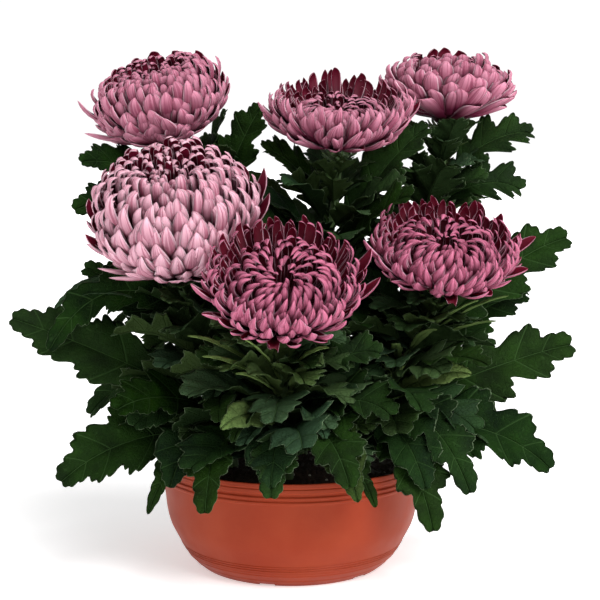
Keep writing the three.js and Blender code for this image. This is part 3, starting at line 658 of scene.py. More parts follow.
def floret_tissue(name, face, base, inner, flush, rim):
    """Ray floret: velvety back, paler towards the tip, with a few furrows along it, dark wine-red
    inside, and a thin pale margin. Back and inside grow darker towards the root, partly in their
    own colour and partly as painted shade where the florets cover each other."""
    material, add = start_material(name)
    uv = add("SeparateXYZ", {"Vector": add("UVMap", uv_map="UVMap")})
    side, shade, edge = (add("Attribute", attribute_name=value).outputs["Fac"]
                         for value in ("side", "shade", "edge"))
    place = add("CombineXYZ", {"X": uv.outputs["X"], "Y": uv.outputs["Y"], "Z": shade})
    place = add("Mapping", {"Vector": place, "Scale": (6, 0.5, 30)})
    furrow = add("TexNoise", {"Vector": place, "Scale": 1.6, "Detail": 3.0})
    # painted shade, in part: darker towards the root, where the florets cover each other
    low = add("MapRange", {
        "Value": uv.outputs["Y"], "From Min": 0.38, "From Max": 0.94, "To Min": 1.0, "To Max": 0.0})
    lines = add("MapRange", {
        "Value": furrow, "From Min": 0.48, "From Max": 0.6, "To Min": 0.0, "To Max": 0.62})
    within = add("Math", {0: side, 1: 0.5}, operation="GREATER_THAN")
    lining = add("Mix", {"Factor": low, "A": srgb(flush), "B": srgb(inner)}, data_type="RGBA")
    margin = add("MapRange", {
        "Value": edge, "From Min": 0.84, "From Max": 0.95, "To Min": 0.0, "To Max": 0.75})
    colour = srgb(face)
    coats = ((low, srgb(base)), (lines, srgb(base)), (within, lining), (margin, srgb(rim)))
    for share, coat in coats:
        colour = add("Mix", {"Factor": share, "A": colour, "B": coat}, data_type="RGBA")
    light = add("MapRange", {"Value": shade, "To Min": 0.86, "To Max": 1.08})
    colour = add("HueSaturation", {"Color": colour, "Value": light})
    bump = add("Bump", {"Height": furrow, "Strength": 0.5, "Distance": 0.0006})
    return end_material(material, add("BsdfPrincipled", {
        "Base Color": colour, "Roughness": 0.6, "Specular IOR Level": 0.22, "Normal": bump,
        "Subsurface Weight": 0.12, "Subsurface Radius": (0.004, 0.0015, 0.002),
        "Subsurface Scale": 0.4}))


# Back at the tip and at the root, inside at the root and at the tip, and margin. The colours at
# the root are darker, partly the florets' own colour and partly painted shade under the florets
# that cover them.
FLORET_COLOURS = {
    "pale": ("#E6B4C3", "#86304E", "#4C051C", "#7C1234", "#F6D6E0"),
    "rose": ("#CF8AA0", "#741B3E", "#48031A", "#700D2C", "#F2CAD6"),
    "deep": ("#C56F8C", "#62102F", "#420012", "#680824", "#F0BED0"),
}


# ---------------------------------------------------------------- settings

class PotSettings(bpy.types.PropertyGroup):
    segments: IntProperty(name="Segments", description="Flats round the pot", default=144, min=48)
    lip: FloatProperty(name="Lip radius", description="Outer radius at the lip", unit="LENGTH",
                       default=0.5 * (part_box("pot")[1][0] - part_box("pot")[0][0]))
    colour: FloatVectorProperty(name="Colour", description="Moulded colour", subtype="COLOR",
                                default=srgb("#8A3018")[:3])
    worn_colour: FloatVectorProperty(name="Worn colour", description="Colour where handled",
                                     subtype="COLOR", default=srgb("#943A20")[:3])


class FoliageSettings(bpy.types.PropertyGroup):
    sites: IntProperty(name="Small leaves", description="Places for small leaves on each stem",
                       default=52, min=0)
    drops: FloatProperty(name="Water drops", description="Drops on a square metre of leaf",
                         default=60, min=0)
    thickness: FloatProperty(name="Thickness", description="Thickness of a leaf blade",
                             unit="LENGTH", default=0.0005)
    leaf_dark: FloatVectorProperty(name="Dark green", description="Blade in the shade",
                                   subtype="COLOR", default=srgb("#061103")[:3])
    leaf_lit: FloatVectorProperty(name="Lit green", description="Blade where it is lighter",
                                  subtype="COLOR", default=srgb("#183108")[:3])
    vein: FloatVectorProperty(name="Vein", description="Colour of the veins", subtype="COLOR",
                              default=srgb("#48693A")[:3])


class BloomSettings(bpy.types.PropertyGroup):
    rows: IntProperty(name="Rows", description="Floret shapes from eye to rim", default=30, min=4)
    kinds: IntProperty(name="Kinds", description="Varieties of each floret shape", default=3, min=1)
    thickness: FloatProperty(name="Thickness", description="Thickness of a floret", unit="LENGTH",
                             default=0.0005)
    tilt: FloatProperty(name="Tilt", description="How far a floret may stray", unit="ROTATION",
                        default=math.radians(2.4))


class StageSettings(bpy.types.PropertyGroup):
    distance: FloatProperty(name="Camera distance", description="From the pot's axis to the camera",
                            unit="LENGTH", default=1.08)
    height: FloatProperty(name="Camera height", description="Camera height over the floor",
                          unit="LENGTH", default=0.33)
    pitch: FloatProperty(name="Camera pitch", description="How far the camera looks down",
                         unit="ROTATION", default=math.radians(7))
    yaw: FloatProperty(name="Camera yaw", description="How far the camera looks to its right",
                       unit="ROTATION", default=math.radians(0.33))
    lens: FloatProperty(name="Lens", description="Focal length in mm on a 36 mm sensor",
                        default=87.8)
    floor_colour: FloatVectorProperty(name="Floor", description="Colour of the pale floor",
                                      subtype="COLOR", default=srgb("#FFFFFF")[:3])


# ---------------------------------------------------------------- pot and soil

# Corners of the pot's wall: radius, height and radius of the fillet. The outside goes up, with
# three fine ridges, the hip, and the bands and grooves of the rim; the inside comes down.
POT_LIP = 100  # the radius at the lip that the outside is drawn for
POT_OUTSIDE = [
    (69, 0, 0.8), (74.6, 4.6, 0.4), (75.2, 5.6, 0.4), (77.8, 8, 1), (79.4, 9.6, 0.5),
    (79.6, 10.6, 0.5), (80.4, 11.4, 0.4), (80.7, 12.2, 0.4),
    (81.5, 13.59, 0), (81.95, 13.56, 0), (82.3, 14.16, 0), (82.05, 14.54, 0),
    (82.6, 15.49, 0), (83.05, 15.46, 0), (83.4, 16.07, 0), (83.15, 16.44, 0),
    (83.7, 17.39, 0), (84.15, 17.37, 0), (84.5, 17.97, 0), (84.25, 18.35, 0),
    (85.5, 20.5, 6), (93.6, 36, 12), (96.8, 66, 1), (98.1, 66.8, 0.4), (98.3, 68.2, 0.4),
    (97.4, 68.9, 0.3), (97.5, 69.6, 0.3), (98.8, 70.3, 0.4), (98.9, 71.8, 0.4), (97.7, 72.6, 0.4),
    (97.8, 73.6, 0.4), (99.8, 74.6, 0.6), (100, 77.6, 0.4), (99.4, 78.2, 0.2), (100, 78.8, 0.4),
    (100, 82, 1),
]
POT_INSIDE = [
    (97.8, 82, 0.9), (94.2, 66, 3), (91, 36, 12), (82.9, 20.5, 6), (70, 3.2, 3), (0, 3.2, 0),
]
POT_UNDERSIDE = [(0, 0, 0), (13, 0, 0.4), (14, 1.6, 0.4), (64, 1.6, 0.4), (65, 0, 0.4)]
FILLET_STEPS = 5
FILLET_SHARE = 0.45  # of a side that a fillet may take
POT_DRAINS = 6
DRAIN_CIRCLE = 44  # radius of the circle that the drain holes stand on
DRAIN_CUTTER = [(0, -6), (4, -6), (4, 6), (0, 6)]
DRAIN_FLATS = 24
POT_NOTCHES = 6
NOTCH_HEIGHTS = (-1.6, 1.6)
NOTCH_CORNERS = ((61, -6), (77, -6), (77, 6), (61, 6))
NOTCH_FACES = (
    (3, 2, 1, 0), (4, 5, 6, 7), (0, 1, 5, 4), (1, 2, 6, 5), (2, 3, 7, 6), (3, 0, 4, 7),
)

SOIL_GAP = 0.8  # between the soil and the pot's wall
SOIL_UNDERSIDE = [(0, 3.7), (69, 3.7), (82, 20.5), (90, 36)]
SOIL_RINGS = 40
SOIL_FLATS = 128
SOIL_SUNK = 0.6
MOUND_TOP = 30  # radius of the level top of the mound
MOUND_SLOPE = 52  # how far out the slope round it goes
LUMP_SIZE = 14
LUMP_HEIGHT = 1.6
LEVEL_EDGE = (95, 6)  # radius where the lumps end, and over how much they rise from there


def rounded(corners):
    """An outline with its corners replaced by arcs of the radius that each names."""
    outline = []
    for i, (x, z, radius) in enumerate(corners):
        corner = Vector((x, z))
        if radius == 0 or i in (0, len(corners) - 1):
            outline.append(tuple(corner))
            continue
        before = Vector(corners[i - 1][:2]) - corner
        after = Vector(corners[i + 1][:2]) - corner
        start = corner + before.normalized() * min(radius, FILLET_SHARE * before.length)
        end = corner + after.normalized() * min(radius, FILLET_SHARE * after.length)
        for k in range(FILLET_STEPS + 1):
            t = k / FILLET_STEPS
            outline.append(tuple(start.lerp(corner, t).lerp(corner.lerp(end, t), t)))
    return outline


def pot_inner_radius(height):
    """Radius of the pot's inner wall at a height above its floor."""
    for (outer, top, _), (inner, bottom, _) in zip(POT_INSIDE, POT_INSIDE[1:]):
        if height >= bottom:
            return inner + (outer - inner) * (height - bottom) / (top - bottom)


class PLANT_OT_pot(bpy.types.Operator):
    """Turn the banded pot, then cut its drain holes and the notches in its foot"""
    bl_idname = "plant.pot"
    bl_label = "Pot"

    def execute(self, context):
        settings = context.scene.plant_pot
        lip = settings.lip / MM
        outside = [(x + lip - POT_LIP, z, fillet) for x, z, fillet in POT_OUTSIDE]
        draft = Draft()
        draft.add_turned(rounded(POT_UNDERSIDE + outside + POT_INSIDE), settings.segments)
        shell = bpy.data.objects.new("pot_shell", draft.to_mesh("pot_shell"))
        cutters = bpy.data.objects.new("pot_cutters", self.cutters())
        for one in (shell, cutters):
            context.collection.objects.link(one)
        cut = shell.modifiers.new("holes", "BOOLEAN")
        cut.object = cutters
        cut.solver = "EXACT"
        graph = context.evaluated_depsgraph_get()
        mesh = bpy.data.meshes.new_from_object(shell.evaluated_get(graph))
        for one in (shell, cutters):
            bpy.data.objects.remove(one)
        mesh.shade_smooth()
        mesh.set_sharp_from_angle(angle=math.radians(40))
        add_piece("pot_shell", mesh, moulded_polypropylene(settings), ["pot"])
        return {"FINISHED"}

    def cutters(self):
        """Pins for the drain holes and boxes for the notches."""
        draft = Draft()
        for i in range(POT_DRAINS):
            turn = (i + 0.5) / POT_DRAINS * 2 * math.pi
            middle = Vector((DRAIN_CIRCLE * math.cos(turn), DRAIN_CIRCLE * math.sin(turn), 0))
            draft.add_turned(DRAIN_CUTTER, DRAIN_FLATS,
                             lambda point, middle=middle: point + middle)
        for i in range(POT_NOTCHES):
            turn = Matrix.Rotation((i + 0.25) / POT_NOTCHES * 2 * math.pi, 3, "Z")
            box = [draft.add_point(turn @ Vector((x, y, z)))
                   for z in NOTCH_HEIGHTS for x, y in NOTCH_CORNERS]
            draft.faces += [[box[corner] for corner in face] for face in NOTCH_FACES]
        return draft.to_mesh("pot_cutters")


def soil_height(x, y):
    """The soil's surface: a low mound, raked uneven, and level at the wall."""
    reach = math.hypot(x, y)
    edge, ease = LEVEL_EDGE
    mound = SOIL_MOUND * (1 - smooth((reach - MOUND_TOP) / MOUND_SLOPE))
    uneven = LUMP_HEIGHT * noise.fractal(Vector((x, y, 3)) / LUMP_SIZE, 1, 2, 4)
    return SOIL_LEVEL - SOIL_SUNK + mound + uneven * smooth((edge - reach) / ease)


class PLANT_OT_soil(bpy.types.Operator):
    """Fill the pot with uneven soil and scatter crumbs and perlite over it"""
    bl_idname = "plant.soil"
    bl_label = "Soil"

    def execute(self, context):
        wall = pot_inner_radius(SOIL_LEVEL - 1) - SOIL_GAP
        bottom = SOIL_UNDERSIDE + [(wall - 1.2, 66), (wall, SOIL_LEVEL - 1.5)]
        top = [(wall * i / SOIL_RINGS, SOIL_LEVEL) for i in reversed(range(SOIL_RINGS))]

        def lay(point):
            if point.z < SOIL_LEVEL - 0.01:
                return point
            return Vector((point.x, point.y, soil_height(point.x, point.y)))

        draft = Draft()
        draft.add_turned(bottom + top, SOIL_FLATS, lay)
        bed = draft.to_mesh("soil_bed")
        peat = damp_peat()
        tree = grain_tree()
        crumbs = grow(tree, "soil_crumbs", bed, Density=90000.0, Smallest=0.0006, Largest=0.0019,
                      Flatness=0.75, Roundness=1, Seed=3, Material=peat)
        perlite = grow(tree, "perlite_grains", bed, Density=2600.0, Smallest=0.0005,
                       Largest=0.0013, Flatness=0.8, Roundness=2, Seed=8,
                       Material=expanded_perlite())
        add_piece("soil_bed", bed, peat, ["soil"])
        add_piece("soil_crumbs", crumbs)
        add_piece("perlite_grains", perlite)
        return {"FINISHED"}


# ---------------------------------------------------------------- stems

STEM_STEPS = 48
STEM_UPRIGHT = 0.45  # shares of its rise that a stem goes upright, and along its bloom's axis
STEM_AXIAL = 0.3
CUP_FLATS = 20
BRACTS = 27
BRACT_HALF = 2.6
BRACT_STEPS = 5
BRACT_ROWS = ((-1, 15, 4), (-3, 15.5, 0), (-5, 14, -4))  # height, reach and height of the tip
CUP_OUTLINE = [
    (0, -CUP_HEIGHT - 5), (3.4, -CUP_HEIGHT - 4), (6.5, -CUP_HEIGHT + 1), (CUP_RADIUS, -2),
    (CUP_RADIUS, -0.3), (0, -0.3),
]


def bloom_axis(bloom):
    return Vector(bloom["axis"]).normalized()


def bloom_seat(bloom):
    """Where a bloom sits on its cup."""
    return Vector(bloom["middle"]) - bloom_axis(bloom) * bloom["down"]


def bloom_place(bloom, unit=1):
    """From the bloom's own frame, seat at the origin and looking along +Z, to the plant's."""
    turn = UP.rotation_difference(bloom_axis(bloom)).to_matrix().to_4x4()
    return Matrix.Translation(bloom_seat(bloom) * unit) @ turn


def stem_curve(bloom):
    """The cubic curve of a stem, upright in the soil and along its bloom's axis at the top."""
    axis = bloom_axis(bloom)
    start = Vector((*bloom["foot"], SOIL_LEVEL - STEM_DEPTH))
    end = bloom_seat(bloom) - axis * CUP_HEIGHT
    rise = end.z - start.z
    return start, start + UP * (STEM_UPRIGHT * rise), end - axis * (STEM_AXIAL * rise), end


def grow_whorls(tree, name, base, bloom, shapes, **values):
    """Sets shapes round a bloom's axis, moves them to the bloom and removes the loose shapes."""
    mesh = grow(tree, name, base, Prototypes=shapes, **values)
    for shape in list(shapes.objects):
        bpy.data.objects.remove(shape)
    bpy.data.collections.remove(shapes)
    mesh.transform(bloom_place(bloom, MM))
    return mesh


def bract_collection():
    """The narrow bracts that close round the underside of a bloom, from the inner to the outer."""
    shapes = bpy.data.collections.new("bract_shapes")
    for number, (low, out, high) in enumerate(BRACT_ROWS):
        line = [Vector((2, 0, low - 4)), Vector((8, 0, low - 4)), Vector((out - 2, 0, low)),
                Vector((out, 0, high))]
        grid = []
        for step in range(BRACT_STEPS + 1):
            share = step / BRACT_STEPS
            ahead = cubic_ahead(line, share)
            under = Vector((ahead.z, 0, -ahead.x)) * 0.5
            half = BRACT_HALF * math.sin(math.pi * (0.15 + 0.83 * share)) ** 0.7
            row = []
            for u in (-1, 0, 1):
                point = cubic(line, share) + Vector((0, u * half, 0)) - under * (0.8 * u * u)
                row.append((point - under, point, (0.5 + 0.5 * u, share, abs(u))))
            grid.append(row)
        draft = Draft()
        draft.add_blade(grid)
        name = f"bract_{number}"
        shapes.objects.link(bpy.data.objects.new(name, draft.to_mesh(name)))
    return shapes


class PLANT_OT_stems(bpy.types.Operator):
    """Sweep a ribbed stem up to each bloom and set its green cup of bracts on top"""
    bl_idname = "plant.stems"
    bl_label = "Stems"

    def execute(self, context):
        tree = stem_tree()
        whorls = whorl_tree()
        skin = green_stem()
        for number, bloom in enumerate(BLOOMS, 1):
            curve = stem_curve(bloom)
            points = [cubic(curve, i / STEM_STEPS) * MM for i in range(STEM_STEPS + 1)]
            path = bpy.data.meshes.new(f"path_{number}")
            path.from_pydata(points, [(i, i + 1) for i in range(STEM_STEPS)], [])
            stem = grow(tree, f"stem_{number}", path, Material=skin)
            add_piece(f"stem_{number}", stem)
            draft = Draft()
            draft.add_turned(CUP_OUTLINE, CUP_FLATS)
            cup = grow_whorls(whorls, f"green_cup_{number}", draft.to_mesh("bloom_cup"), bloom,
                              bract_collection(), Count=BRACTS, Kinds=1, Rows=len(BRACT_ROWS),
                              Tilt=0.06, Seed=number, Material=skin)
            add_piece(f"green_cup_{number}", cup)
        return {"FINISHED"}


# ---------------------------------------------------------------- leaves

# A leaf's edge from stalk to tip: share of the length, share of the half width, wave in mm.
LEAF_EDGE = [
    (0.2, 0.05, 0), (0.27, 0.84, -3), (0.35, 0.34, 3), (0.46, 1, -4), (0.58, 0.33, 3),
    (0.7, 0.76, -3), (0.79, 0.38, 1), (0.88, 0.44, -1), (1, 0.1, 0),
]
LEAF_STALK = 0.2  # share of the length
STALK_ROWS = (0, 0.07, 0.14)
THINNEST_STALK = 0.7  # half widths in mm, of the stalk and of the tip
LEAF_TIP = 0.2
# Shares of the half width where a blade has points, for leaves wider and narrower than this half.
NARROW_HALF = 20
WIDE_COLUMNS = (0, 0.07, 0.24, 0.45, 0.66, 0.85, 1)
NARROW_COLUMNS = (0, 0.1, 0.4, 0.72, 1)
LEAF_SLANT = math.radians(52)  # between the midrib and the veins to the lobes
LEAF_TROUGH = 0.15  # rise of the edge over the midrib, for each mm of width
LEAF_TEETH = 15
SIDE_VEINS = (0.27, 0.46, 0.7, 0.84)  # where the veins that feed the lobes leave the midrib
# Heights in mm on a leaf of this half width: the quilting between veins, the groove along the
# midrib, and the midrib underneath at the root and at the tip.
FULL_HALF = 38
LEAF_QUILT = 1.7
LEAF_GROOVE = 0.35
LEAF_RIB = (1.5, 0.2)

# Rows of points along a blade, and how deep its lobes are cut, from an oval (0) to LEAF_EDGE (1).
LARGE_ROWS, ODD_ROWS, SMALL_ROWS, LEAFLET_ROWS = 54, 26, 22, 12
LARGE_CUT = (0.55, 0.9)
ODD_CUT = 0.4
SMALL_CUT = (0.35, 0.9)
LEAFLET_CUT = 0.2
LEAFLET_HALF = 0.14  # share of the length

# What leaves keep away from: a bloom by this share of its size, the soil, the pot's rim below
# RIM_TOP and outside RIM_INSIDE, and the sides of the frame's box, in mm.
BLOOM_ROOM = 1.08
SOIL_ROOM = 6
RIM_TOP = 90
RIM_INSIDE = 86
BOX_ROOM = 2

# The small leaves up a stem, from the lowest to the highest.
SMALL_PLACE = (0.17, 0.93)  # share of the stem
SMALL_LENGTH = (84, 36)
SMALL_HALF = 0.46  # share of the length
SMALL_ARCH = 0.17  # share of the length
SMALL_SLOPE = (-8, 38)  # in degrees
# Changes of slope in degrees and swings in radians, tried in turn until the leaf is free.
SMALL_TRIES = [(slope, swing) for slope in (0, 18, -18, 36, -34, 52) for swing in (0, 0.35, -0.35)]
# Painted light: small leaves at the front centre, in the shade of the blooms, are made yellower and
# lighter.
YOUNG_LEAF_TINT = 0.12  # how much yellower the small leaves at the front are


def leaf_width(share, cut):
    """Share of the half width at a share of the length, with rounded lobes and blunt teeth."""
    oval = math.sin(math.pi * min(1, (share - LEAF_STALK) / (1 - LEAF_STALK)) ** 0.75)
    for (low, low_width, _), (high, high_width, _) in zip(LEAF_EDGE, LEAF_EDGE[1:]):
        if share <= high:
            t = (share - low) / (high - low)
            t = 1 - (1 - t) ** 2 if high_width > low_width else t ** 2
            lobed = lerp(low_width, high_width, t)
            break
    tooth = abs(math.sin(share * LEAF_TEETH * math.pi)) ** 0.6
    return lerp(oval * 0.9, lobed, cut) * (0.82 + 0.2 * tooth)


def leaf_wave(share):
    """How far the edge rises or falls, in mm."""
    for (low, _, low_wave), (high, _, high_wave) in zip(LEAF_EDGE, LEAF_EDGE[1:]):
        if share <= high:
            return lerp(low_wave, high_wave, smooth((share - low) / (high - low)))


def vein_phase(share):
    """0 on a side vein and 1 midway between two."""
    stops = (LEAF_STALK, *SIDE_VEINS, 1)
    for low, high in zip(stops, stops[1:]):
        if share <= high:
            return math.sin(math.pi * (share - low) / (high - low))


def midrib(root, tip, arch):
    """The cubic curve of a midrib that arches up between root and tip."""
    along = tip - root
    return root, root + along * 0.3 + UP * arch, root + along * 0.72 + UP * (1.25 * arch), tip


def add_leaf(draft, curve, half, roll, cut, rows, thick, **same):
    """A leaf along its midrib: stalk, lobed blade, raised quilting between the veins."""
    columns = WIDE_COLUMNS if half > NARROW_HALF else NARROW_COLUMNS
    columns = [-u for u in reversed(columns[1:])] + list(columns)
    shares = [*STALK_ROWS] + [lerp(LEAF_STALK, 1, i / (rows - 1)) for i in range(rows)]
    stalk = max(THINNEST_STALK, half * 0.035)
    rib_root, rib_tip = LEAF_RIB
    grid = []
    for share in shares:
        ahead = cubic_ahead(curve, share)
        side = Vector((ahead.y, -ahead.x, 0)).normalized()
        side = Quaternion(ahead, math.radians(roll)) @ side
        face = side.cross(ahead).normalized()
        middle = cubic(curve, share)
        blade = share > LEAF_STALK
        width = max(stalk, leaf_width(share, cut) * half) if blade else stalk
        if share == 1:
            width = LEAF_TIP
        lean = LEAF_SLANT * (1 - 0.6 * max(0, share - 0.6)) if blade else math.pi / 2
        wave = leaf_wave(share) * half / FULL_HALF if blade else 0
        pillow = LEAF_QUILT * vein_phase(share) * half / FULL_HALF if blade else 0
        row = []
        for u in columns:
            size = abs(u)
            rise = LEAF_TROUGH * size * width + pillow * 4 * size * (1 - size)
            rise += (wave if u > 0 else -0.6 * wave) * size ** 1.5
            if u == 0:
                rise -= LEAF_GROOVE
            point = middle + side * (u * width * math.sin(lean)) + face * rise
            point += ahead * (size * width * math.cos(lean) * (0.82 + 0.18 * size))
            rib = (rib_root * (1 - share) + rib_tip) * smooth(1 - size * 8) * half / FULL_HALF
            depth = thick + rib if blade else 2 * stalk * (1 - size)
            mark = (0.5 + u * width / 100, share, size if blade else 0)
            row.append((point, point - face * depth, mark))
        grid.append(row)
    draft.add_blade(grid, **same)


def frame_corners(node):
    """A search tree of a CAD node's corners."""
    mesh = frame["nodes"][node].data
    tree = kdtree.KDTree(len(mesh.vertices))
    for i, vertex in enumerate(mesh.vertices):
        tree.insert(vertex.co, i)
    tree.balance()
    return tree


def frame_leaf_curve(bloom, leaf, corners):
    """The midrib of one of the frame's leaves, with the bend that it took there."""
    at, tip, arch, _, _ = leaf
    root = cubic(stem_curve(bloom), at)

    def bent(bend):
        turn, lift = bend
        reach = Quaternion(UP, math.radians(turn)) @ (Vector(tip) - root)
        return root + reach + UP * lift

    taken = min(BENDS, key=lambda bend: corners.find(bent(bend) * MM)[2])
    return midrib(root, bent(taken), arch)


def is_free(point, inverses):
    """Whether a leaf may reach a point: outside the blooms and the pot, inside the frame's box."""
    for bloom, inverse in zip(BLOOMS, inverses):
        local = inverse @ point - UP * bloom["down"]
        tall = bloom["up"] if local.z > 0 else bloom["down"]
        scaled = Vector((local.x / bloom["radius"], local.y / bloom["radius"], local.z / tall))
        if scaled.length < BLOOM_ROOM:
            return False
    reach = math.hypot(point.x, point.y)
    if point.z < SOIL_LEVEL + SOIL_ROOM or (point.z < RIM_TOP and reach > RIM_INSIDE):
        return False
    return all(low / MM + BOX_ROOM < part < high / MM - BOX_ROOM
               for low, part, high in zip(CAD_BOUNDS[0], point, CAD_BOUNDS[1]))


def small_leaves(number, sites):
    """Smaller leaves up a stem by the golden angle, each with the first slope that is free."""
    draw = random.Random(40 + number)
    inverses = [bloom_place(one).inverted() for one in BLOOMS]
    curve = stem_curve(BLOOMS[number - 1])
    for site in range(sites):
        share = (site + 0.5) / sites
        root = cubic(curve, lerp(*SMALL_PLACE, share))
        length = lerp(*SMALL_LENGTH, share ** 1.2) * draw.uniform(0.8, 1.15)
        turn = site * GOLDEN_ANGLE + number
        start = lerp(*SMALL_SLOPE, share) + draw.uniform(-12, 12)
        roll = draw.uniform(-30, 30)
        tint = max(0, draw.gauss(0.02, 0.06)) + 0.05 * share
        grey = draw.uniform(0.1, 1)
        half = SMALL_HALF * length
        for slope, swing in SMALL_TRIES:
            lift = math.radians(start + slope)
            ahead = Vector((math.cos(turn + swing), math.sin(turn + swing), 0))
            tip = root + ahead * (length * math.cos(lift)) + UP * (length * math.sin(lift))
            rib = midrib(root, tip, SMALL_ARCH * length)
            probes = [cubic(rib, t) for t in (0.45, 0.7, 1)]
            across = ahead.cross(UP)
            probes += [probes[0] + across * 0.8 * half, probes[0] - across * 0.8 * half]
            if all(is_free(probe, inverses) for probe in probes):
                # painted light: lighter, yellower small leaves at the front centre where the blooms
                # shade them
                young = YOUNG_LEAF_TINT * smooth((-tip.y - 70) / 50) * smooth((tip.z - 115) / 45)
                yield rib, half, roll, {"tint": tint + young, "grey": grey}
                break


def shoot_leaves(bloom, at, count, length):
    """The midribs of the narrow leaflets of a young shoot, rising round a point of its stem."""
    root = cubic(stem_curve(bloom), at)
    for i in range(count):
        turn = i * GOLDEN_ANGLE
        lift = math.radians(lerp(72, 20, (i + 0.5) / count))
        reach = length * lerp(0.7, 1, (i * 0.618) % 1)
        way = Vector((math.cos(turn) * math.cos(lift), math.sin(turn) * math.cos(lift),
                      math.sin(lift)))
        yield midrib(root, root + way * reach, 0.12 * reach)


class PLANT_OT_foliage(bpy.types.Operator):
    """Grow the large leaves of the frame, the small ones between them and the young shoots"""
    bl_idname = "plant.foliage"
    bl_label = "Foliage"

    def execute(self, context):
        settings = context.scene.plant_foliage
        thick = settings.thickness / MM
        tissue = leaf_tissue(settings)
        tree = grain_tree()
        water = clear_water()
        for number, (bloom, leaves) in enumerate(zip(BLOOMS, LEAVES), 1):
            draft = Draft("side", "edge", "tint", "grey")
            corners = frame_corners(f"leafy_stem_{number}")
            draw = random.Random(number)
            for leaf in leaves:
                rib = frame_leaf_curve(bloom, leaf, corners)
                add_leaf(draft, rib, *leaf[3:], draw.uniform(*LARGE_CUT), LARGE_ROWS, thick,
                         tint=draw.uniform(0, 0.03), grey=draw.uniform(0, 0.2))
            for stem, at, tip, arch, half, roll, tint, grey in ODD_LEAVES:
                if stem == number:
                    rib = midrib(cubic(stem_curve(bloom), at), Vector(tip), arch)
                    add_leaf(draft, rib, half, roll, ODD_CUT, ODD_ROWS, thick,
                             tint=tint, grey=grey)
            for rib, half, roll, looks in small_leaves(number, settings.sites):
                add_leaf(draft, rib, half, roll, draw.uniform(*SMALL_CUT), SMALL_ROWS, thick,
                         **looks)
            for stem, at, count, length in SHOOTS:
                if stem == number:
                    for rib in shoot_leaves(bloom, at, count, length):
                        add_leaf(draft, rib, LEAFLET_HALF * length, 0, LEAFLET_CUT, LEAFLET_ROWS,
                                 thick, tint=draw.uniform(0.5, 1))
            mesh = draft.to_mesh(f"leaves_{number}")
            drops = grow(tree, f"water_drops_{number}", mesh, Density=settings.drops,
                         Smallest=0.0006, Largest=0.0015, Flatness=0.7, Roundness=3, Seed=number,
                         Steepest=0.4, Smooth=True, Material=water)
            add_piece(f"leaves_{number}", mesh, tissue, [f"leafy_stem_{number}"])
            add_piece(f"water_drops_{number}", drops)
        return {"FINISHED"}


# ---------------------------------------------------------------- blooms

FLORET_ROWS = (0, 0.22, 0.42, 0.58, 0.7, 0.8, 0.89, 0.96, 1)  # from the root to the tip
FLORET_COLUMNS = (-1, -0.5, 0, 0.5, 1)
FLORET_WAIST = (0.34, 0.66)  # share of the width at the root, and what it gains from there
FLORET_SHOULDER = 0.6  # share of the length where the floret is widest
FLORET_TIP = 0.02  # share of the width
FLORET_SWEEP = 0.95  # how far its root lies down the bloom from its tip, in radians
FLORET_ROOT = 0.75  # how far the root is drawn in from the outline
FLORET_SLIMMEST = 0.45  # share of the width in the eye
BUD_CURL = 2  # the curl, share of the width and hook in the bud
BUD_WIDTH = 1.1
BUD_HOOK = 0.5
LOWEST_ANGLE = 2.75  # from the axis, in radians, so that florets keep off the stem
RECEPTACLE = Vector((0, 4))  # where all florets of a bloom come from, as radius and height
CORE_SIZE = 0.42  # share of the outline
CORE_RINGS = 10
CORE_FLATS = 24
STRAY_TWIST = 0.3
STRAY_FULLNESS = 1.25
# How far a floret shape may vary: out of its row, sideways in the eye and at the rim in mm, its
# twist in radians, its share of the width, and how far its tip stands off.
ROW_STRAY = 0.45
SWAY = (1.5, 9)
TWIST = 0.5
FULLNESS = (0.8, 1.1)
FLARE = 0.07


def bloom_inside(bloom, angle, scale):
    """Radius and height at an angle from the bloom's axis, drawn in from its outline."""
    angle = min(angle, LOWEST_ANGLE)
    dip, width = bloom["eye"]
    tall = bloom["up"] if math.cos(angle) > 0 else bloom["down"]
    height = bloom["down"] + tall * math.cos(angle)
    height -= dip * math.exp(-(angle / math.radians(width)) ** 2)
    return RECEPTACLE.lerp(Vector((bloom["radius"] * math.sin(angle), height)), scale)


def floret_form(bloom, share):
    """The outline that a floret follows and its angle there; share goes from the eye to the rim."""
    whorls = bloom["whorls"]
    for (low, low_open, low_angle), (high, high_open, high_angle) in zip(whorls, whorls[1:]):
        if share <= high:
            t = (share - low) / (high - low)
            break
    opened = lerp(low_open, high_open, t)
    radius, down, up = bloom["bud"]
    bud = dict(radius=radius, down=down, up=up, curl=BUD_CURL, hook=BUD_HOOK)
    form = dict(bloom, width=bloom["width"] * lerp(BUD_WIDTH, 1, opened))
    form.update((name, lerp(value, bloom[name], opened)) for name, value in bud.items())
    return form, math.radians(lerp(low_angle, high_angle, t))


def floret_line(form, angle, along, flare, reflex):
    """A point on the line down the middle of a floret, as radius and height; 0 is its root."""
    sweep = FLORET_SWEEP * form["curl"] * math.sin(min(angle, 1.2)) ** 0.8
    hook = form["hook"] * max(0, along - 0.7) ** 2
    reach = 1 - FLORET_ROOT * max(0, 1 - along) ** 2.2 - hook + flare * along ** 2
    bend = reflex * max(0, along - 0.5) ** 1.5
    return bloom_inside(form, angle + sweep * (1 - along) + bend, reach)


def floret_fullness(share, blunt):
    """Share of a floret's width from its narrow root to its tip."""
    root, gain = FLORET_WAIST
    if share < FLORET_SHOULDER:
        return root + gain * smooth(share / FLORET_SHOULDER)
    past = (share - FLORET_SHOULDER) / (1 - FLORET_SHOULDER)
    return max(FLORET_TIP, (1 - past ** blunt) ** (1.5 / blunt))


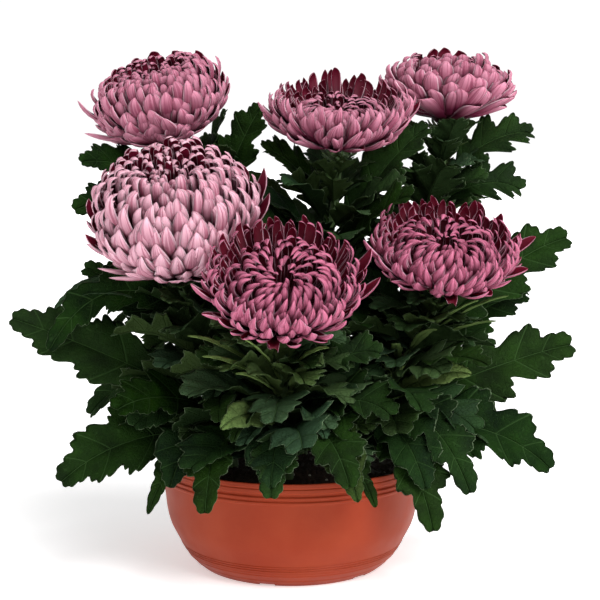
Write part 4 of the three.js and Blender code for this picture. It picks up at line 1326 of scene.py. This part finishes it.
def add_floret(draft, form, angle, sway, twist, full, flare, thick, reflex=0, turn=0, **same):
    """One ray floret, cupped along its length, in the plane of +X and +Z unless it is turned."""
    slim = lerp(FLORET_SLIMMEST, 1, math.sin(min(angle, math.pi / 2)) ** 1.2)
    half = 0.5 * form["width"] * slim * full
    about = Matrix.Rotation(turn, 3, "Z")
    grid = []
    for share in FLORET_ROWS:
        before, middle, after = (floret_line(form, angle, share + step, flare, reflex)
                                 for step in (-0.02, 0, 0.02))
        ahead = (after - before).normalized()
        roll = Quaternion(Vector((ahead.x, 0, ahead.y)), twist * share)
        out = roll @ Vector((ahead.y, 0, -ahead.x))
        side = roll @ Vector((0, 1, 0))
        width = half * floret_fullness(share, form["blunt"])
        wrap = form["wrap"] * (0.5 + 0.5 * smooth(share * 1.5))
        row = []
        for u in FLORET_COLUMNS:
            across = width * math.sin(wrap * u) / wrap
            deep = width * (1 - math.cos(wrap * u)) / wrap
            point = Vector((middle.x, sway * share ** 2, middle.y)) + side * across - out * deep
            row.append((about @ (point + out * (0.5 * thick)),
                        about @ (point - out * (0.5 * thick)), (0.5 + 0.5 * u, share, abs(u))))
        grid.append(row)
    draft.add_blade(grid, **same)


def floret_collection(bloom, settings, number):
    """The floret shapes of a bloom, row by row from its eye, several kinds of each."""
    shapes = bpy.data.collections.new(f"floret_shapes_{number}")
    draw = random.Random(100 + number)
    for row in range(settings.rows):
        for kind in range(settings.kinds):
            share = (row + 0.5 + draw.uniform(-ROW_STRAY, ROW_STRAY)) / settings.rows
            form, angle = floret_form(bloom, share)
            swirl = bloom["swirl"] * math.sin(angle) * (1 - share)
            draft = Draft("side", "edge")
            add_floret(draft, form, angle,
                       sway=swirl + draw.uniform(-1, 1) * lerp(*SWAY, share ** 2),
                       twist=draw.uniform(-TWIST, TWIST), full=draw.uniform(*FULLNESS),
                       flare=draw.uniform(-FLARE, FLARE), thick=settings.thickness / MM)
            name = f"floret_{number}_{row:03d}_{kind}"
            shapes.objects.link(bpy.data.objects.new(name, draft.to_mesh(name)))
    return shapes


def bloom_core(bloom, strays, thick):
    """The closed dark middle that the florets stand out of, with the florets that strayed."""
    outline = [(0, 1), (CUP_RADIUS - 2, 1)]
    for ring in range(CORE_RINGS):
        form, angle = floret_form(bloom, 1 - ring / CORE_RINGS)
        outline.append(tuple(bloom_inside(form, angle, CORE_SIZE)))
    outline.append((0, outline[-1][1]))
    draft = Draft("side", "edge", "shade")
    draft.add_turned(outline, CORE_FLATS, side=1, shade=0.5)
    for i, (turn, angle, flare, reflex, sway) in enumerate(strays):
        add_floret(draft, bloom, math.radians(angle), sway, STRAY_TWIST, STRAY_FULLNESS, flare,
                   thick, reflex, math.radians(turn), shade=i / len(strays))
    return draft.to_mesh("bloom_core")


class PLANT_OT_blooms(bpy.types.Operator):
    """Set the florets of each bloom round its axis by the golden angle"""
    bl_idname = "plant.blooms"
    bl_label = "Blooms"

    def execute(self, context):
        settings = context.scene.plant_blooms
        tree = whorl_tree()
        tissues = {name: floret_tissue(f"ray_floret_{name}", *colours)
                   for name, colours in FLORET_COLOURS.items()}
        for number, (bloom, strays) in enumerate(zip(BLOOMS, STRAYS), 1):
            shapes = floret_collection(bloom, settings, number)
            core = bloom_core(bloom, strays, settings.thickness / MM)
            mesh = grow_whorls(tree, f"florets_{number}", core, bloom, shapes,
                               Count=bloom["florets"], Kinds=settings.kinds, Rows=settings.rows,
                               Tilt=settings.tilt, Seed=number, Material=tissues[bloom["tissue"]])
            add_piece(f"florets_{number}", mesh, replaces=[f"bloom_{number}"])
        return {"FINISHED"}


# ---------------------------------------------------------------- stage

FLOOR_REACH = 9  # in metres from the pot each way
SUN_WAY = Vector((-0.6, 0.75, -1.2))
SOFTBOX_PLACE = Vector((0.9, -1.2, 0.7))
SOFTBOX_AIM = Vector((0, 0, 0.15))


def add_to_stage(context, name, data):
    """Puts a lamp, the camera or the floor into the scene."""
    thing = bpy.data.objects.new(name, data)
    context.collection.objects.link(thing)
    return thing


def facing(way):
    """How to turn a lamp for it to shine a given way."""
    return way.to_track_quat("-Z", "Y").to_euler()


class PLANT_OT_stage(bpy.types.Operator):
    """Lay the pale floor and set the studio lights, the surroundings and the camera"""
    bl_idname = "plant.stage"
    bl_label = "Stage"

    def execute(self, context):
        settings = context.scene.plant_stage
        self.add_floor(context, settings)
        self.add_lights(context)
        self.add_surroundings(context)
        camera = add_to_stage(context, "camera", bpy.data.cameras.new("camera"))
        camera.data.lens = settings.lens
        camera.data.sensor_width = 36
        camera.location = (0, -settings.distance, settings.height)
        camera.rotation_euler = Euler((math.pi / 2 - settings.pitch, 0, -settings.yaw))
        context.scene.camera = camera
        context.scene.view_settings.view_transform = "Standard"
        return {"FINISHED"}

    def add_floor(self, context, settings):
        """Matt studio paper, lit a little from within so that it stays pale."""
        material, add = start_material("matt_studio_paper")
        end_material(material, add("BsdfPrincipled", {
            "Base Color": opaque(settings.floor_colour), "Roughness": 0.9,
            "Specular IOR Level": 0, "Emission Color": opaque((1, 1, 1)),
            "Emission Strength": 0.45}))
        mesh = bpy.data.meshes.new("floor")
        corners = ((-1, -1), (1, -1), (1, 1), (-1, 1))
        mesh.from_pydata([(x * FLOOR_REACH, y * FLOOR_REACH, 0) for x, y in corners], [],
                         [(0, 1, 2, 3)])
        mesh.materials.append(material)
        floor = add_to_stage(context, "floor", mesh)
        floor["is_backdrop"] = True

    def add_lights(self, context):
        """A wide soft key and a softbox, both from the upper right in front."""
        sun = add_to_stage(context, "wide_soft_key", bpy.data.lights.new("wide_soft_key", "SUN"))
        sun.data.energy = 2.8
        sun.data.angle = math.radians(36)
        sun.rotation_euler = facing(SUN_WAY)
        box = add_to_stage(context, "side_softbox", bpy.data.lights.new("side_softbox", "AREA"))
        box.data.size = 0.8
        box.data.energy = 5
        box.location = SOFTBOX_PLACE
        box.rotation_euler = facing(SOFTBOX_AIM - SOFTBOX_PLACE)

    def add_surroundings(self, context):
        """A bright wall all round the horizon under a dimmer ceiling."""
        world = bpy.data.worlds.new("studio")
        world.use_nodes = True
        world.node_tree.nodes.clear()
        add = partial(add_node, world.node_tree)
        way = add("SeparateXYZ", {"Vector": add("TexCoord").outputs["Generated"]})
        band = add("MapRange", {"Value": way.outputs["Z"], "From Min": 0.1, "From Max": 0.35,
                                "To Min": 1.05, "To Max": 0.4})
        sky = add("Background", {"Color": opaque((1, 1, 1)), "Strength": band})
        add("OutputWorld", {"Surface": sky})
        context.scene.world = world


class PLANT_PT_panel(bpy.types.Panel):
    """Lists the plant's steps and settings"""
    bl_idname = "PLANT_PT_panel"
    bl_label = "Pot chrysanthemum"
    bl_space_type = "VIEW_3D"
    bl_region_type = "UI"
    bl_category = "Plant"

    def draw(self, context):
        for steps, group, _ in STEPS:
            for step in steps:
                self.layout.operator(step.bl_idname)
            settings = getattr(context.scene, group)
            for name in settings.__annotations__:
                self.layout.prop(settings, name)


STEPS = (
    ((PLANT_OT_stage,), "plant_stage", StageSettings),
    ((PLANT_OT_pot, PLANT_OT_soil), "plant_pot", PotSettings),
    ((PLANT_OT_stems, PLANT_OT_foliage), "plant_foliage", FoliageSettings),
    ((PLANT_OT_blooms,), "plant_blooms", BloomSettings),
)


def register():
    for steps, group, settings in STEPS:
        bpy.utils.register_class(settings)
        setattr(bpy.types.Scene, group, PointerProperty(type=settings))
        for step in steps:
            bpy.utils.register_class(step)
    bpy.utils.register_class(PLANT_PT_panel)


def unregister():
    bpy.utils.unregister_class(PLANT_PT_panel)
    for steps, group, settings in reversed(STEPS):
        for step in reversed(steps):
            bpy.utils.unregister_class(step)
        delattr(bpy.types.Scene, group)
        bpy.utils.unregister_class(settings)


def main():
    register()
    bpy.ops.plant.stage()
    bpy.ops.plant.pot()
    bpy.ops.plant.soil()
    bpy.ops.plant.stems()
    bpy.ops.plant.foliage()
    bpy.ops.plant.blooms()
    bounds = {"cad": CAD_BOUNDS, "visual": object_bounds()}
    plain = {name: [list(corner) for corner in corners] for name, corners in bounds.items()}


if __name__ == "__main__":
    main()
